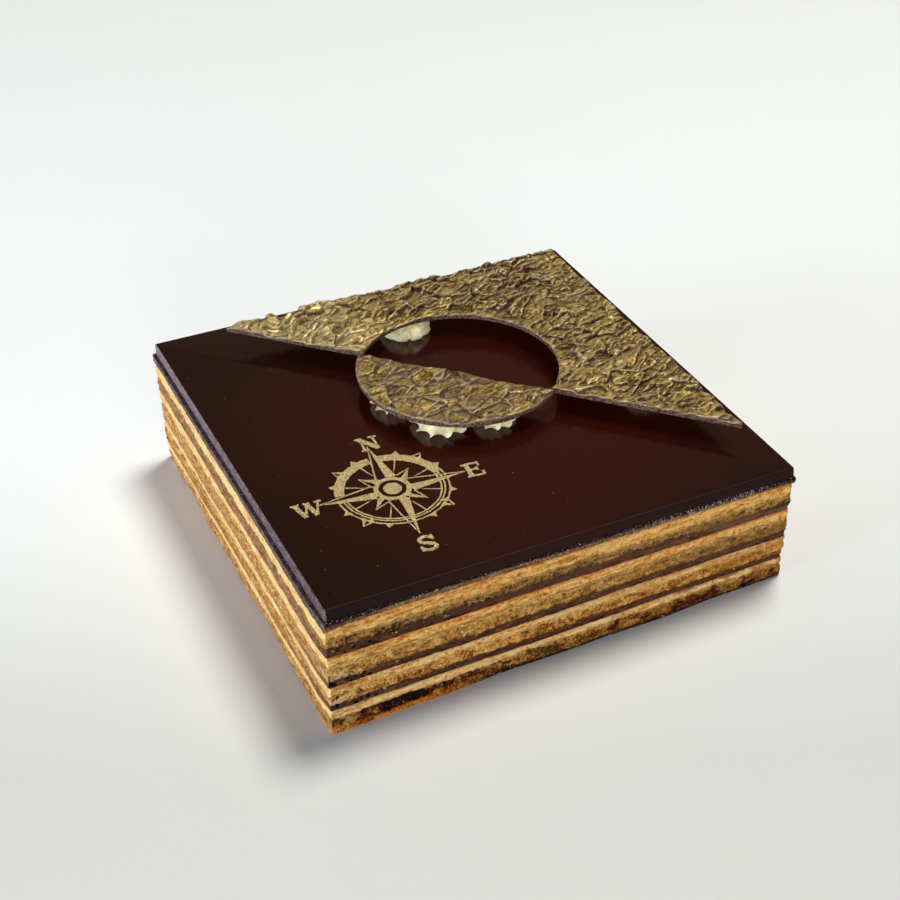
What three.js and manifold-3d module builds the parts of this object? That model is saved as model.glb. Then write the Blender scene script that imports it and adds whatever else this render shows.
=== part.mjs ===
// A square opera cake: four sheets of almond sponge with coffee buttercream and dark
// ganache between them, on top a thin chocolate plate and a mirror glaze, and over a back
// corner a crumpled chocolate plaque whose round bite leaves a loose segment in front.
// Units are millimetres, +Z is up and the origin is the middle of the underside.
import * as THREE from 'three';
import { mergeVertices } from 'three/addons/utils/BufferGeometryUtils.js';
import Module from 'manifold-3d';

const wasm = await Module();
wasm.setup();

// ---- driving dimensions ----
const cakeWidth = 160; // over the chocolate plate, which stands proud of the layers
const heightFrontLeft = 49; // the cake is a little thicker at its front left corner
const heightFrontRight = 44.2;
const heightBackLeft = 48;
const seam = 0.03; // hairline left between two pieces that touch

const glazeInset = 1.0; // glaze top edge, in from the chocolate plate
const layerInset = 0.7; // mean side of the layers, in from the chocolate plate
const leftInset = 0; // the same at the left side, where they are flush
const pointsPerSide = 14; // outline points along one side of a layer
const wavesPerSide = [1.7, 4.3]; // slow and quick undulation of a cut side

const plaqueLift = 5.8; // underside of the plaque above the glaze
const plaqueThickness = 1.9; // mean thickness of the moulded sheet
const thinnest = 0.7; // least thickness, at the bottom of a fold
const plaqueCorner = [71.2, 66.8]; // right-angled corner of the plaque
const plaqueCut = 10.6; // x + y along the long slanting edge
const biteCentre = [5.6, 9.6];
const biteRadius = 33.4;
const segmentRadius = 34.3;
const segmentCut = 9.6; // x + y along the straight edge of the segment

const creaseCells = [15, 6.6]; // size of the large and the small crumples
const creaseDepths = [1.1, 0.5]; // and how far they rise and fall
const creaseSeeds = [5, 9];
const creaseBend = 0.55; // how far the folds are bent, as a share of the crumple's size
const creaseStep = 2.3; // spacing of the crumpled sheet's facets
const calmEdge = 0.3; // share of the crumples' depth at the plaque's bite and slanting edge
const calmReach = 5; // and how far in from those the sheet is as crumpled as it gets
const calmSegment = 0.4; // the same share all over the segment
const calmRight = 0.6; // and to the right of the plaque's crumpled left wing
const calmRun = [-26, 0]; // where that wing calms down, along x

const halfWidth = cakeWidth / 2;

// One row a layer, from the top: how deep its underside lies below the glaze top at the
// left and at the right side, how far its sides stand back, and how uneven they are.
const layers = [
  { name: 'glaze', left: 4.2, right: 3.4, kind: 'glaze' },
  { name: 'chocolate_plate', left: 6.8, right: 5.8, kind: 'plate' },
  { name: 'buttercream_1', left: 12.2, right: 10.6, kind: 'buttercream', inset: 0.2 },
  { name: 'sponge_1', left: 16.4, right: 14.6, kind: 'sponge', inset: 0.3 },
  { name: 'ganache_1', left: 18.4, right: 16.3, kind: 'ganache', inset: 0.6 },
  { name: 'buttercream_2', left: 22.3, right: 20.0, kind: 'buttercream', inset: 0.4 },
  { name: 'sponge_2', left: 28.0, right: 24.8, kind: 'sponge', inset: 0.5 },
  { name: 'ganache_2', left: 30.4, right: 27.2, kind: 'ganache', inset: 0.9 },
  { name: 'buttercream_3', left: 33.4, right: 29.6, kind: 'buttercream', inset: 0.5 },
  { name: 'sponge_3', left: 37.6, right: 34.2, kind: 'sponge', inset: 0.8 },
  { name: 'ganache_3', left: 40.0, right: 36.2, kind: 'ganache', inset: 1.1 },
  { name: 'buttercream_4', left: 42.8, right: 38.6, kind: 'buttercream', inset: 0.8 },
  { name: 'sponge_4', left: null, right: null, kind: 'sponge', inset: 0.9 }, // down to the floor
];

// The finish of each kind of layer, and how far its sides wander.
const kinds = {
  glaze: { color: 0x1c0b08, roughness: 0.06, metalness: 0, wander: 0 },
  plate: { color: 0x2c1a18, roughness: 0.55, metalness: 0, wander: 0.12 },
  buttercream: { color: 0xd0a060, roughness: 0.55, metalness: 0, wander: 0.28 },
  sponge: { color: 0x7d5f33, roughness: 0.9, metalness: 0, wander: 0.5 },
  ganache: { color: 0x33201d, roughness: 0.45, metalness: 0, wander: 0.22 },
};
const plaqueFinish = { color: 0x766329, roughness: 0.42, metalness: 0.55 };
const creamFinish = { color: 0xeae5c4, roughness: 0.5, metalness: 0 };

// Cream rosettes: where they stand, how wide they are, their number of flutes and their turn.
const rosettes = [
  { name: 'rosette_1', x: 3.4, y: 49.5, radius: 9.2, flutes: 8, turn: 0.35 },
  { name: 'rosette_2', x: 56.5, y: 51.5, radius: 8.8, flutes: 9, turn: 0.1 },
  { name: 'rosette_3', x: 60.0, y: -21.5, radius: 8.6, flutes: 9, turn: 0.5 },
  { name: 'rosette_4', x: -10.2, y: -8.8, radius: 9.7, flutes: 10, turn: 0.2 },
  { name: 'rosette_5', x: 6.4, y: -14.4, radius: 7.2, flutes: 10, turn: 0.05 },
  { name: 'rosette_6', x: -19.3, y: 8.3, radius: 7.6, flutes: 10, turn: 0.3 },
];
const fluteDepth = 0.24; // depth of a flute as a share of the rosette's radius
const fluteTwist = 0.5; // turn of the flutes between the foot and the top, in radians
const pointsPerFlute = 4;

// ---- small helpers ----

// A repeatable random number from 0 to 1 for a pair of whole numbers and a seed.
function draw(i, j, seed) {
  const value = Math.sin(i * 127.1 + j * 311.7 + seed * 74.7) * 43758.5453;
  return value - Math.floor(value);
}

// Height of the glaze's top face, a plane that falls gently to the right and to the back.
function topHeight(x, y) {
  const reach = halfWidth - glazeInset;
  const fallRight = (heightFrontRight - heightFrontLeft) * (x + reach) / (2 * reach);
  const fallBack = (heightBackLeft - heightFrontLeft) * (y + reach) / (2 * reach);
  return heightFrontLeft + fallRight + fallBack;
}

// Height of the face between two layers, given its depths at the left and right sides.
function seamHeight(x, y, face) {
  const share = (x + halfWidth) / cakeWidth;
  return topHeight(x, y) - face.left * (1 - share) - face.right * share;
}

// How far a cut side stands out at a place along it (0 to 1).
function wander(along, side, seed, amount) {
  const slow = Math.sin(2 * Math.PI * (along * wavesPerSide[0] + draw(side, 1, seed)));
  const quick = Math.sin(2 * Math.PI * (along * wavesPerSide[1] + draw(side, 2, seed)));
  return amount * (0.6 * slow + 0.4 * quick);
}

// The wandering square outline of one level of a layer, counter-clockwise from above.
function squareOutline(reach, leftReach, seed, amount, count) {
  const outline = [];
  const corners = [[-1, -1], [1, -1], [1, 1], [-1, 1]];
  const slide = (across) => (across < 0 ? leftReach : reach) * across;
  for (let side = 0; side < 4; side += 1) {
    const from = corners[side];
    const to = corners[(side + 1) % 4];
    const outward = [to[1] - from[1], from[0] - to[0]].map((value) => value / 2);
    const before = corners[(side + 3) % 4];
    const outwardBefore = [from[1] - before[1], before[0] - from[0]].map((value) => value / 2);
    for (let step = 0; step < count; step += 1) {
      const along = step / count;
      const push = wander(along, side, seed, amount);
      const x = slide(from[0]) * (1 - along) + slide(to[0]) * along + outward[0] * push;
      const y = reach * (from[1] + (to[1] - from[1]) * along) + outward[1] * push;
      const pushBefore = step === 0 ? wander(1, (side + 3) % 4, seed, amount) : 0;
      outline.push([x + outwardBefore[0] * pushBefore, y + outwardBefore[1] * pushBefore]);
    }
  }
  return outline;
}

// A closed solid from rings of points that all have the same count, lowest ring first.
// Each end is closed by a fan round its middle point.
function solidFromRings(rings, lowMiddle, highMiddle) {
  const count = rings[0].length;
  const points = [...rings.flat(), lowMiddle, highMiddle];
  const low = points.length - 2;
  const high = points.length - 1;
  const faces = [];
  for (let ring = 0; ring + 1 < rings.length; ring += 1) {
    for (let i = 0; i < count; i += 1) {
      const next = (i + 1) % count;
      const a = ring * count + i;
      const b = ring * count + next;
      faces.push(a, b, b + count, a, b + count, a + count);
    }
  }
  const last = (rings.length - 1) * count;
  for (let i = 0; i < count; i += 1) {
    const next = (i + 1) % count;
    faces.push(low, next, i);
    faces.push(high, last + i, last + next);
  }
  const geometry = new THREE.BufferGeometry();
  geometry.setAttribute('position', new THREE.Float32BufferAttribute(points.flat(), 3));
  geometry.setIndex(faces);
  geometry.computeVertexNormals();
  return geometry;
}

function namedMesh(name, geometry, { color, roughness, metalness }) {
  const material = new THREE.MeshStandardMaterial({ color, roughness, metalness });
  const mesh = new THREE.Mesh(geometry, material);
  mesh.name = name;
  return mesh;
}

// ---- the layers ----

// A layer between two seams; its side has a ring at each entry of reaches, lowest first.
function layerGeometry(lowFace, highFace, reaches, seed, amount, count) {
  const lowHeight = (x, y) => (lowFace ? seamHeight(x, y, lowFace) + seam : 0);
  const highHeight = (x, y) => seamHeight(x, y, highFace) - seam;
  const rings = reaches.map(({ reach, leftReach, share }, level) => {
    const outline = squareOutline(reach, leftReach ?? reach, seed + level, amount, count);
    return outline.map(([x, y]) => {
      const z = lowHeight(x, y) * (1 - share) + highHeight(x, y) * share;
      return [x, y, z];
    });
  });
  return solidFromRings(rings, [0, 0, lowHeight(0, 0)], [0, 0, highHeight(0, 0)]);
}

// The glaze has a level top with a small bevel and a side that leans out to its foot.
function glazeGeometry(lowFace, highFace) {
  const reach = halfWidth - glazeInset;
  const reaches = [
    { reach: reach + 0.4, share: 0 },
    { reach: reach + 0.3, share: 0.72 },
    { reach, share: 0.93 },
    { reach: reach - 0.5, share: 1 },
  ];
  return layerGeometry(lowFace, highFace, reaches, 1, 0, 2);
}

// The thin chocolate plate under the glaze stands out furthest, with a broken edge.
function plateGeometry(lowFace, highFace, amount) {
  const reach = halfWidth - amount;
  const reaches = [
    { reach: reach - 0.5, share: 0 },
    { reach, share: 0.55 },
    { reach: reach - 0.2, share: 1 },
  ];
  return layerGeometry(lowFace, highFace, reaches, 3, amount, pointsPerSide);
}

// A soft layer bulges a little between its seams.
function softGeometry(lowFace, highFace, inset, seed, amount) {
  const reach = halfWidth - layerInset - inset;
  const leftReach = halfWidth - leftInset - amount;
  const bulge = amount / 2;
  const reaches = [
    { reach: reach - bulge, leftReach: leftReach - bulge, share: 0 },
    { reach: reach + bulge / 2, leftReach, share: 0.5 },
    { reach: reach - bulge, leftReach: leftReach - bulge, share: 1 },
  ];
  return layerGeometry(lowFace, highFace, reaches, seed, amount, pointsPerSide);
}

function buildLayers() {
  const group = new THREE.Group();
  let highFace = { left: -seam, right: -seam };
  layers.forEach((layer, index) => {
    const lowFace = layer.left === null ? null : layer;
    const finish = kinds[layer.kind];
    const seed = 10 * (index + 1);
    let geometry;
    if (layer.kind === 'glaze') {
      geometry = glazeGeometry(lowFace, highFace);
    } else if (layer.kind === 'plate') {
      geometry = plateGeometry(lowFace, highFace, finish.wander);
    } else {
      geometry = softGeometry(lowFace, highFace, layer.inset, seed, finish.wander);
    }
    group.add(namedMesh(layer.name, geometry, finish));
    highFace = layer;
  });
  return group;
}

// ---- the crumpled chocolate ----

// Straight-sided noise: random heights on a triangular lattice with flat facets between.
function facetNoise(u, v, seed) {
  const skew = (u + v) * (Math.sqrt(3) - 1) / 2;
  const a = u + skew;
  const b = v + skew;
  const i = Math.floor(a);
  const j = Math.floor(b);
  const p = a - i;
  const q = b - j;
  const near = 2 * draw(i, j, seed) - 1;
  const far = 2 * draw(i + 1, j + 1, seed) - 1;
  if (p > q) {
    const side = 2 * draw(i + 1, j, seed) - 1;
    return near + (side - near) * p + (far - side) * q;
  }
  const side = 2 * draw(i, j + 1, seed) - 1;
  return near + (side - near) * q + (far - side) * p;
}

// Crumples of one size: ridges and folds where the straight-sided noise crosses zero.
function creases(x, y, cell, seed) {
  const wide = 1.7 * cell;
  const bendX = x + creaseBend * cell * facetNoise(x / wide, y / wide, seed + 1);
  const bendY = y + creaseBend * cell * facetNoise(x / wide, y / wide, seed + 2);
  return 1 - 2.4 * Math.abs(facetNoise(bendX / cell, bendY / cell, seed));
}

// Share of their full depth that the crumples have at a place. The sheet lies calmer along
// its cut edges, to the right and on the segment.
function calmAt(x, y) {
  const fromCut = (x + y - plaqueCut) / Math.SQRT2;
  if (fromCut < 0) {
    return calmSegment;
  }
  const fromBite = Math.hypot(x - biteCentre[0], y - biteCentre[1]) - biteRadius;
  const inward = THREE.MathUtils.clamp(Math.min(fromBite, fromCut) / calmReach, 0, 1);
  const right = THREE.MathUtils.smoothstep(x, ...calmRun);
  return (calmEdge + (1 - calmEdge) * inward) * (1 + (calmRight - 1) * right);
}

// Rise of the crumpled face above the mean thickness of the sheet.
function crumple(x, y) {
  let rise = 0;
  creaseCells.forEach((cell, size) => {
    rise += creaseDepths[size] * creases(x, y, cell, creaseSeeds[size]);
  });
  return Math.max(rise * calmAt(x, y), thinnest - plaqueThickness);
}

// A manifold-3d solid from a closed geometry.
function solidFrom(geometry) {
  const bare = geometry.clone();
  bare.deleteAttribute('normal');
  bare.deleteAttribute('uv');
  const merged = mergeVertices(bare, 1e-4);
  const vertProperties = new Float32Array(merged.attributes.position.array);
  const triVerts = new Uint32Array(merged.index.array);
  return new wasm.Manifold(new wasm.Mesh({ numProp: 3, vertProperties, triVerts }));
}

function geometryFrom(solid) {
  const { vertProperties, triVerts } = solid.getMesh();
  const geometry = new THREE.BufferGeometry();
  geometry.setAttribute('position', new THREE.Float32BufferAttribute(vertProperties, 3));
  geometry.setIndex([...triVerts]);
  geometry.computeVertexNormals();
  return geometry;
}

// A rectangle of crumpled sheet, flat below, its facets' corners shifted at random.
function crumpledSheet(low, high) {
  const columns = Math.ceil((high[0] - low[0]) / creaseStep);
  const rows = Math.ceil((high[1] - low[1]) / creaseStep);
  const points = [];
  for (let row = 0; row <= rows; row += 1) {
    for (let column = 0; column <= columns; column += 1) {
      const inside = row > 0 && row < rows && column > 0 && column < columns;
      const shift = inside ? 0.5 * creaseStep : 0;
      const x = low[0] + column * creaseStep + shift * (draw(column, row, 21) - 0.5);
      const y = low[1] + row * creaseStep + shift * (draw(column, row, 22) - 0.5);
      points.push([x, y, plaqueLift + plaqueThickness + crumple(x, y)]);
    }
  }
  const across = columns + 1;
  const faces = [];
  for (let row = 0; row < rows; row += 1) {
    for (let column = 0; column < columns; column += 1) {
      const a = row * across + column;
      const b = a + 1;
      const c = a + across + 1;
      const d = a + across;
      if (draw(column, row, 23) < 0.5) {
        faces.push(a, b, c, a, c, d);
      } else {
        faces.push(a, b, d, b, c, d);
      }
    }
  }
  const rim = [];
  for (let column = 0; column < columns; column += 1) {
    rim.push(column);
  }
  for (let row = 0; row < rows; row += 1) {
    rim.push(row * across + columns);
  }
  for (let column = columns; column > 0; column -= 1) {
    rim.push(rows * across + column);
  }
  for (let row = rows; row > 0; row -= 1) {
    rim.push(row * across);
  }
  const foot = points.length;
  rim.forEach((index) => points.push([points[index][0], points[index][1], plaqueLift]));
  const middle = points.length;
  points.push([(low[0] + high[0]) / 2, (low[1] + high[1]) / 2, plaqueLift]);
  rim.forEach((index, i) => {
    const next = (i + 1) % rim.length;
    faces.push(foot + i, foot + next, rim[next], foot + i, rim[next], index);
    faces.push(middle, foot + next, foot + i);
  });
  const geometry = new THREE.BufferGeometry();
  geometry.setAttribute('position', new THREE.Float32BufferAttribute(points.flat(), 3));
  geometry.setIndex(faces);
  return geometry;
}

// What a straight-down cut along the outline leaves of the crumpled sheet, laid over the
// glaze so that it follows the gentle slope of its top.
function cutFromSheet(outline, low, high) {
  const tall = 4 * (plaqueLift + plaqueThickness);
  const settings = { depth: tall, bevelEnabled: false, curveSegments: 44 };
  const cutter = new THREE.ExtrudeGeometry(outline, settings);
  const piece = solidFrom(crumpledSheet(low, high)).intersect(solidFrom(cutter));
  const geometry = geometryFrom(piece);
  const { position } = geometry.attributes;
  for (let i = 0; i < position.count; i += 1) {
    const z = position.getZ(i) + topHeight(position.getX(i), position.getY(i));
    position.setZ(i, z);
  }
  return geometry;
}

// The two places where a circle round the bite's centre meets a slanting edge, as angles.
function cutAngles(radius, cut) {
  const behind = (biteCentre[0] + biteCentre[1] - cut) / Math.SQRT2;
  const spread = Math.acos(-behind / radius);
  const inward = Math.PI / 4;
  return [inward + spread, inward - spread];
}

// The plaque: a right-angled triangle whose long edge has the round bite.
function plaqueGeometry() {
  const [cornerX, cornerY] = plaqueCorner;
  const [leftAngle, rightAngle] = cutAngles(biteRadius, plaqueCut);
  const outline = new THREE.Shape();
  outline.moveTo(cornerX, cornerY);
  outline.lineTo(plaqueCut - cornerY, cornerY);
  outline.absarc(...biteCentre, biteRadius, leftAngle, rightAngle, true);
  outline.lineTo(cornerX, plaqueCut - cornerX);
  outline.closePath();
  const low = [plaqueCut - cornerY - 2, plaqueCut - cornerX - 2];
  const high = [cornerX + 2, cornerY + 2];
  return cutFromSheet(outline, low, high);
}

// The segment: the front part of the disc that was cut out of the bite.
function segmentGeometry() {
  const [leftAngle, rightAngle] = cutAngles(segmentRadius, segmentCut);
  const outline = new THREE.Shape();
  outline.absarc(...biteCentre, segmentRadius, leftAngle, rightAngle + 2 * Math.PI, false);
  outline.closePath();
  const low = biteCentre.map((value) => value - segmentRadius - 2);
  const high = biteCentre.map((value) => value + segmentRadius + 2);
  return cutFromSheet(outline, low, high);
}

// ---- the cream rosettes ----

// Outline of a rosette at one height: sharp ridges with round flutes between them.
function rosetteRing({ x, y, radius, flutes, turn }, share, swell) {
  const ring = [];
  const count = flutes * pointsPerFlute;
  for (let i = 0; i < count; i += 1) {
    const phase = (i % pointsPerFlute) / pointsPerFlute;
    const hollow = Math.sqrt(Math.sin(Math.PI * phase));
    const reach = radius * swell * (1 - fluteDepth * hollow);
    const angle = 2 * Math.PI * (i / count + turn / flutes) + fluteTwist * share;
    const px = x + reach * Math.cos(angle);
    const py = y + reach * Math.sin(angle);
    const pz = topHeight(px, py) + seam + share * (plaqueLift - 2 * seam);
    ring.push([px, py, pz]);
  }
  return ring;
}

// A star-piped rosette, squeezed between the glaze and the chocolate it carries.
function rosetteGeometry(rosette) {
  const profile = [
    { share: 0, swell: 0.9 },
    { share: 0.22, swell: 1.0 },
    { share: 0.6, swell: 0.9 },
    { share: 1, swell: 0.62 },
  ];
  const rings = profile.map(({ share, swell }) => rosetteRing(rosette, share, swell));
  const foot = topHeight(rosette.x, rosette.y) + seam;
  const head = foot + plaqueLift - 2 * seam;
  return solidFromRings(rings, [rosette.x, rosette.y, foot], [rosette.x, rosette.y, head]);
}

// ---- the whole cake ----

const cake = new THREE.Group();
cake.name = 'opera_cake';
cake.add(buildLayers());
cake.add(namedMesh('plaque', plaqueGeometry(), plaqueFinish));
cake.add(namedMesh('plaque_segment', segmentGeometry(), plaqueFinish));
rosettes.forEach((rosette) => cake.add(namedMesh(rosette.name, rosetteGeometry(rosette), creamFinish)));

export default cake;
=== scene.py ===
import itertools
import math

import bmesh
import bpy
import numpy as np
from mathutils import Matrix, Vector, geometry


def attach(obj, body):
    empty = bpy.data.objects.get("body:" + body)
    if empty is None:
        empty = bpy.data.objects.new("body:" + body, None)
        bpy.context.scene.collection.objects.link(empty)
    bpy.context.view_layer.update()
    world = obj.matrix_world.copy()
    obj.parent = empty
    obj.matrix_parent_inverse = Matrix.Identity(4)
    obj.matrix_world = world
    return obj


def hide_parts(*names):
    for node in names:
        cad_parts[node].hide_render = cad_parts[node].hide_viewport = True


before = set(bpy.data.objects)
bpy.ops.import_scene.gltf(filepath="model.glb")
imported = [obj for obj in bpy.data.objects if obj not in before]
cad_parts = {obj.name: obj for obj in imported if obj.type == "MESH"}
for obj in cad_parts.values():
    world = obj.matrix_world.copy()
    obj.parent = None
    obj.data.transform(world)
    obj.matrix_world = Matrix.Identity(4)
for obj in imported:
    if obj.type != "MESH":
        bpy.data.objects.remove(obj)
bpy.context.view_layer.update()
mm = 0.001
print("frame loaded:", len(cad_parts), "nodes")


# Chance and uneven surfaces

def draw(i, j, seed):
    # repeatable random number from 0 to 1 for a pair of whole numbers
    value = np.sin(i * 127.1 + j * 311.7 + seed * 74.7) * 43758.5453
    return value - np.floor(value)


def latticeDraw(cell, seed):
    # random number from 0 to 1 for each row of whole numbers in cell
    mixed = cell[..., 0] * 73856093 ^ cell[..., 1] * 19349663 ^ cell[..., 2] * 83492791
    mixed = (mixed ^ (seed * 15485863)) & 0xffffffff
    mixed = ((mixed ^ (mixed >> 13)) * 1274126177) & 0xffffffff
    mixed = mixed ^ (mixed >> 16)
    return (mixed & 0xffff) / 65535


def grain(points, size, seed):
    # smooth field from -1 to 1, with blotches as large as size along x, y and z
    place = points / np.array(size)
    cell = np.floor(place).astype(np.int64)
    share = place - cell
    share = share * share * (3 - 2 * share)
    total = np.zeros(len(points))
    for corner in itertools.product((0, 1), repeat=3):
        weight = np.prod(np.where(corner, share, 1 - share), axis=1)
        total += weight * (2 * latticeDraw(cell + np.array(corner), seed) - 1)
    return total


def pores(points, size, seed):
    # distance to the nearest of some scattered points, as a share of size
    place = points / size
    cell = np.floor(place).astype(np.int64)
    nearest = np.full(len(points), 9.0)
    for step in itertools.product((-1, 0, 1), repeat=3):
        near = cell + np.array(step)
        centre = near + np.stack([latticeDraw(near, seed + axis) for axis in range(3)], axis=1)
        nearest = np.minimum(nearest, np.linalg.norm(place - centre, axis=1))
    return nearest


def smoothStep(value, low, high):
    share = np.clip((value - low) / (high - low), 0, 1)
    return share * share * (3 - 2 * share)


# Materials

def tone(code):
    # linear colour from a hex code
    channels = [int(code[i:i + 2], 16) / 255 for i in (0, 2, 4)]
    return (*[c / 12.92 if c <= 0.04045 else ((c + 0.055) / 1.055) ** 2.4 for c in channels], 1)


class Wire:
    # an output socket; arithmetic on it adds Math nodes
    def __init__(self, finish, socket):
        self.finish = finish
        self.socket = socket

    def math(self, operation, *values):
        return self.finish.add("ShaderNodeMath", {"operation": operation}, dict(enumerate(values)))

    def __add__(self, other):
        return self.math("ADD", self, other)

    def __sub__(self, other):
        return self.math("SUBTRACT", self, other)

    def __rsub__(self, other):
        return self.math("SUBTRACT", other, self)

    def __mul__(self, other):
        return self.math("MULTIPLY", self, other)

    __radd__ = __add__
    __rmul__ = __mul__


class Finish:
    # a material under construction; paint lays tones over its colour
    def __init__(self, name):
        self.material = bpy.data.materials.new(name)
        self.material.use_nodes = True
        self.tree = self.material.node_tree
        self.tree.nodes.clear()
        metres = self.add("ShaderNodeTexCoord", output="Object")
        self.place = self.join("MULTIPLY", metres, (1 / mm,) * 3)
        self.colour = None

    def add(self, kind, settings=None, inputs=None, output=0):
        node = self.tree.nodes.new(kind)
        for key, value in (settings or {}).items():
            if key == "stops":
                self.setStops(node.color_ramp, value)
            else:
                setattr(node, key, value)
        for key, value in (inputs or {}).items():
            if isinstance(value, Wire):
                self.tree.links.new(value.socket, node.inputs[key])
            else:
                node.inputs[key].default_value = value
        return Wire(self, node.outputs[output]) if node.outputs else None

    def setStops(self, ramp, stops):
        while len(ramp.elements) < len(stops):
            ramp.elements.new(0.5)
        for element, (position, colour) in zip(ramp.elements, stops):
            element.position = position
            element.color = tone(colour) if isinstance(colour, str) else (colour, colour, colour, 1)

    def join(self, operation, first, second, output=0):
        return self.add("ShaderNodeVectorMath", {"operation": operation}, {0: first, 1: second}, output)

    def turn(self, degrees):
        # turns all later patterns about z
        inputs = {"Vector": self.place, "Angle": math.radians(-degrees)}
        self.place = self.add("ShaderNodeVectorRotate", {"rotation_type": "Z_AXIS"}, inputs)

    def spread(self, size, seed=0, across=(1, 1, 1)):
        # where a pattern is read; size is in mm and across stretches it along x, y and z
        place = self.join("MULTIPLY", self.place, tuple(1 / (size * share) for share in across))
        return self.join("ADD", place, (seed,) * 3)

    def cloudy(self, settings, inputs, detail, roughness):
        inputs = {**inputs, "Scale": 1.0, "Detail": detail, "Roughness": roughness}
        return self.add("ShaderNodeTexNoise", settings, inputs, "Fac")

    def noise(self, size, detail=3, roughness=0.6, seed=0, across=(1, 1, 1)):
        return self.cloudy({}, {"Vector": self.spread(size, seed, across)}, detail, roughness)

    def lines(self, along, size, detail, roughness):
        # streaks across a coordinate given in mm
        return self.cloudy({"noise_dimensions": "1D"}, {"W": along * (1 / size)}, detail, roughness)

    def veins(self, size, seed, across):
        # 0 along winding lines, and more the further from them
        off = self.noise(size, 2, 0.5, seed, across) - 0.5
        return off.math("ABSOLUTE", off)

    def cells(self, size, seed):
        inputs = {"Vector": self.spread(size, seed), "Scale": 1.0}
        return self.add("ShaderNodeTexVoronoi", {}, inputs, "Distance")

    def chips(self, size, seed, across):
        # height of small flat facets with crisp borders, and one random value for each facet
        place = self.spread(size, 0, across)
        drift = self.add("ShaderNodeTexNoise", {}, {"Vector": place, "Scale": 0.9, "Detail": 2.0}, "Color")
        place = self.join("ADD", self.join("ADD", place, drift), (seed,) * 3)
        centre = self.add("ShaderNodeTexVoronoi", {}, {"Vector": place, "Scale": 1.0}, "Position")
        drawn = Wire(self, centre.socket.node.outputs["Color"])
        tilt = self.join("SUBTRACT", drawn, (0.5, 0.5, 0.5))
        height = self.join("DOT_PRODUCT", self.join("SUBTRACT", place, centre), tilt, "Value")
        return height, self.join("DOT_PRODUCT", drawn, (0.5, 0.5, 0), "Value")

    def mask(self, value, low, high):
        inputs = {"Value": value, "From Min": low, "From Max": high}
        return self.add("ShaderNodeMapRange", {"interpolation_type": "SMOOTHSTEP"}, inputs)

    def ramp(self, value, stops):
        return self.add("ShaderNodeValToRGB", {"stops": stops}, {"Fac": value}, "Color")

    def mix(self, share, first, second, blend="MIX"):
        first, second = [tone(c) if isinstance(c, str) else c for c in (first, second)]
        settings = {"data_type": "RGBA", "blend_type": blend}
        return self.add("ShaderNodeMix", settings, {0: share, 6: first, 7: second}, 2)

    def paint(self, share, colour):
        self.colour = self.mix(share, self.colour, colour)

    def cover(self, value, low, high, share, colour):
        # paints where value goes from low to high
        self.paint(self.mask(value, low, high) * share, colour)

    def attributes(self, *names):
        return [self.add("ShaderNodeAttribute", {"attribute_name": name}, output="Fac") for name in names]

    def shade(self, roughness, level, relief=None, depth=0.1, more=None):
        # relief is a height from 0 to 1 and depth its full rise in mm
        inputs = {"Base Color": self.colour, "Roughness": roughness, "Specular IOR Level": level}
        inputs.update(more or {})
        if relief is not None:
            bump = {"Height": relief, "Distance": depth * mm, "Strength": 1.0}
            inputs["Normal"] = self.add("ShaderNodeBump", {}, bump)
        shader = self.add("ShaderNodeBsdfPrincipled", {}, inputs)
        self.add("ShaderNodeOutputMaterial", {}, {"Surface": shader})
        return self.material


# Meshes

def addObject(name, data):
    made = bpy.data.objects.new(name, data)
    bpy.context.scene.collection.objects.link(made)
    return made


def makePiece(name, shape, material, nodes=(), values=None, sharp=None):
    # shape is points in mm and faces; sharp is the angle from which an edge stays crisp
    mesh = bpy.data.meshes.new(name)
    mesh.from_pydata((np.asarray(shape[0]) * mm).tolist(), [], shape[1])
    mesh.shade_smooth()
    if sharp is not None:
        mesh.set_sharp_from_angle(angle=math.radians(sharp))
    for key, numbers in (values or {}).items():
        layer = mesh.attributes.new(key, "FLOAT", "POINT")
        layer.data.foreach_set("value", np.asarray(numbers, dtype=np.float32))
    mesh.materials.append(material)
    piece = addObject(name, mesh)
    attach(piece, "root")
    if nodes:
        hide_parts(*nodes)
    return piece


def dress(piece, material, chosen):
    # gives the chosen ones of the first faces another material
    piece.data.materials.append(material)
    picked = np.zeros(len(piece.data.polygons), dtype=np.int32)
    piece.data.polygons.foreach_get("material_index", picked)
    picked[:len(chosen)][chosen] = len(piece.data.materials) - 1
    piece.data.polygons.foreach_set("material_index", picked)


def closedBand(rings, lowMiddle, highMiddle):
    # quads between rings, lowest first, and a fan round a middle point at each end
    count = len(rings[0])
    around = np.arange(count)
    after = (around + 1) % count
    starts = np.arange(len(rings) - 1)[:, None] * count
    quads = np.stack([starts + k for k in (around, after, after + count, around + count)], axis=-1)
    faces = quads.reshape(-1, 4).tolist()
    low = count * len(rings)
    for i, k in zip(around.tolist(), after.tolist()):
        faces += [(low, k, i), (low + 1, low - count + i, low - count + k)]
    return np.vstack([*rings, lowMiddle, highMiddle]), faces


# The cake's shape, in mm

cake = {
    "halfWidth": 80.0,
    "heightFrontLeft": 49.0,
    "heightFrontRight": 44.2,
    "heightBackLeft": 48.0,
    "topReach": 79.0,  # half the width of the glaze
    "layerInset": 0.7,
    "leftInset": 0.4,  # the same at the left side, where the layers are flush
    "seam": 0.03,
    "crumbSizes": ((7, 40), (2.2, 41), (0.9, 42)),  # widths and seeds of the waves in a seam
    "wavesPerSide": (1.7, 4.3),
    "waveShares": (0.6, 0.4),
    "stationsPerSide": 14,
    "cornerRound": 0.7,
    "cornerBends": 3,
}
outwards = np.array([(0, -1), (1, 0), (0, 1), (-1, 0)])  # front, right, back and left

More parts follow.
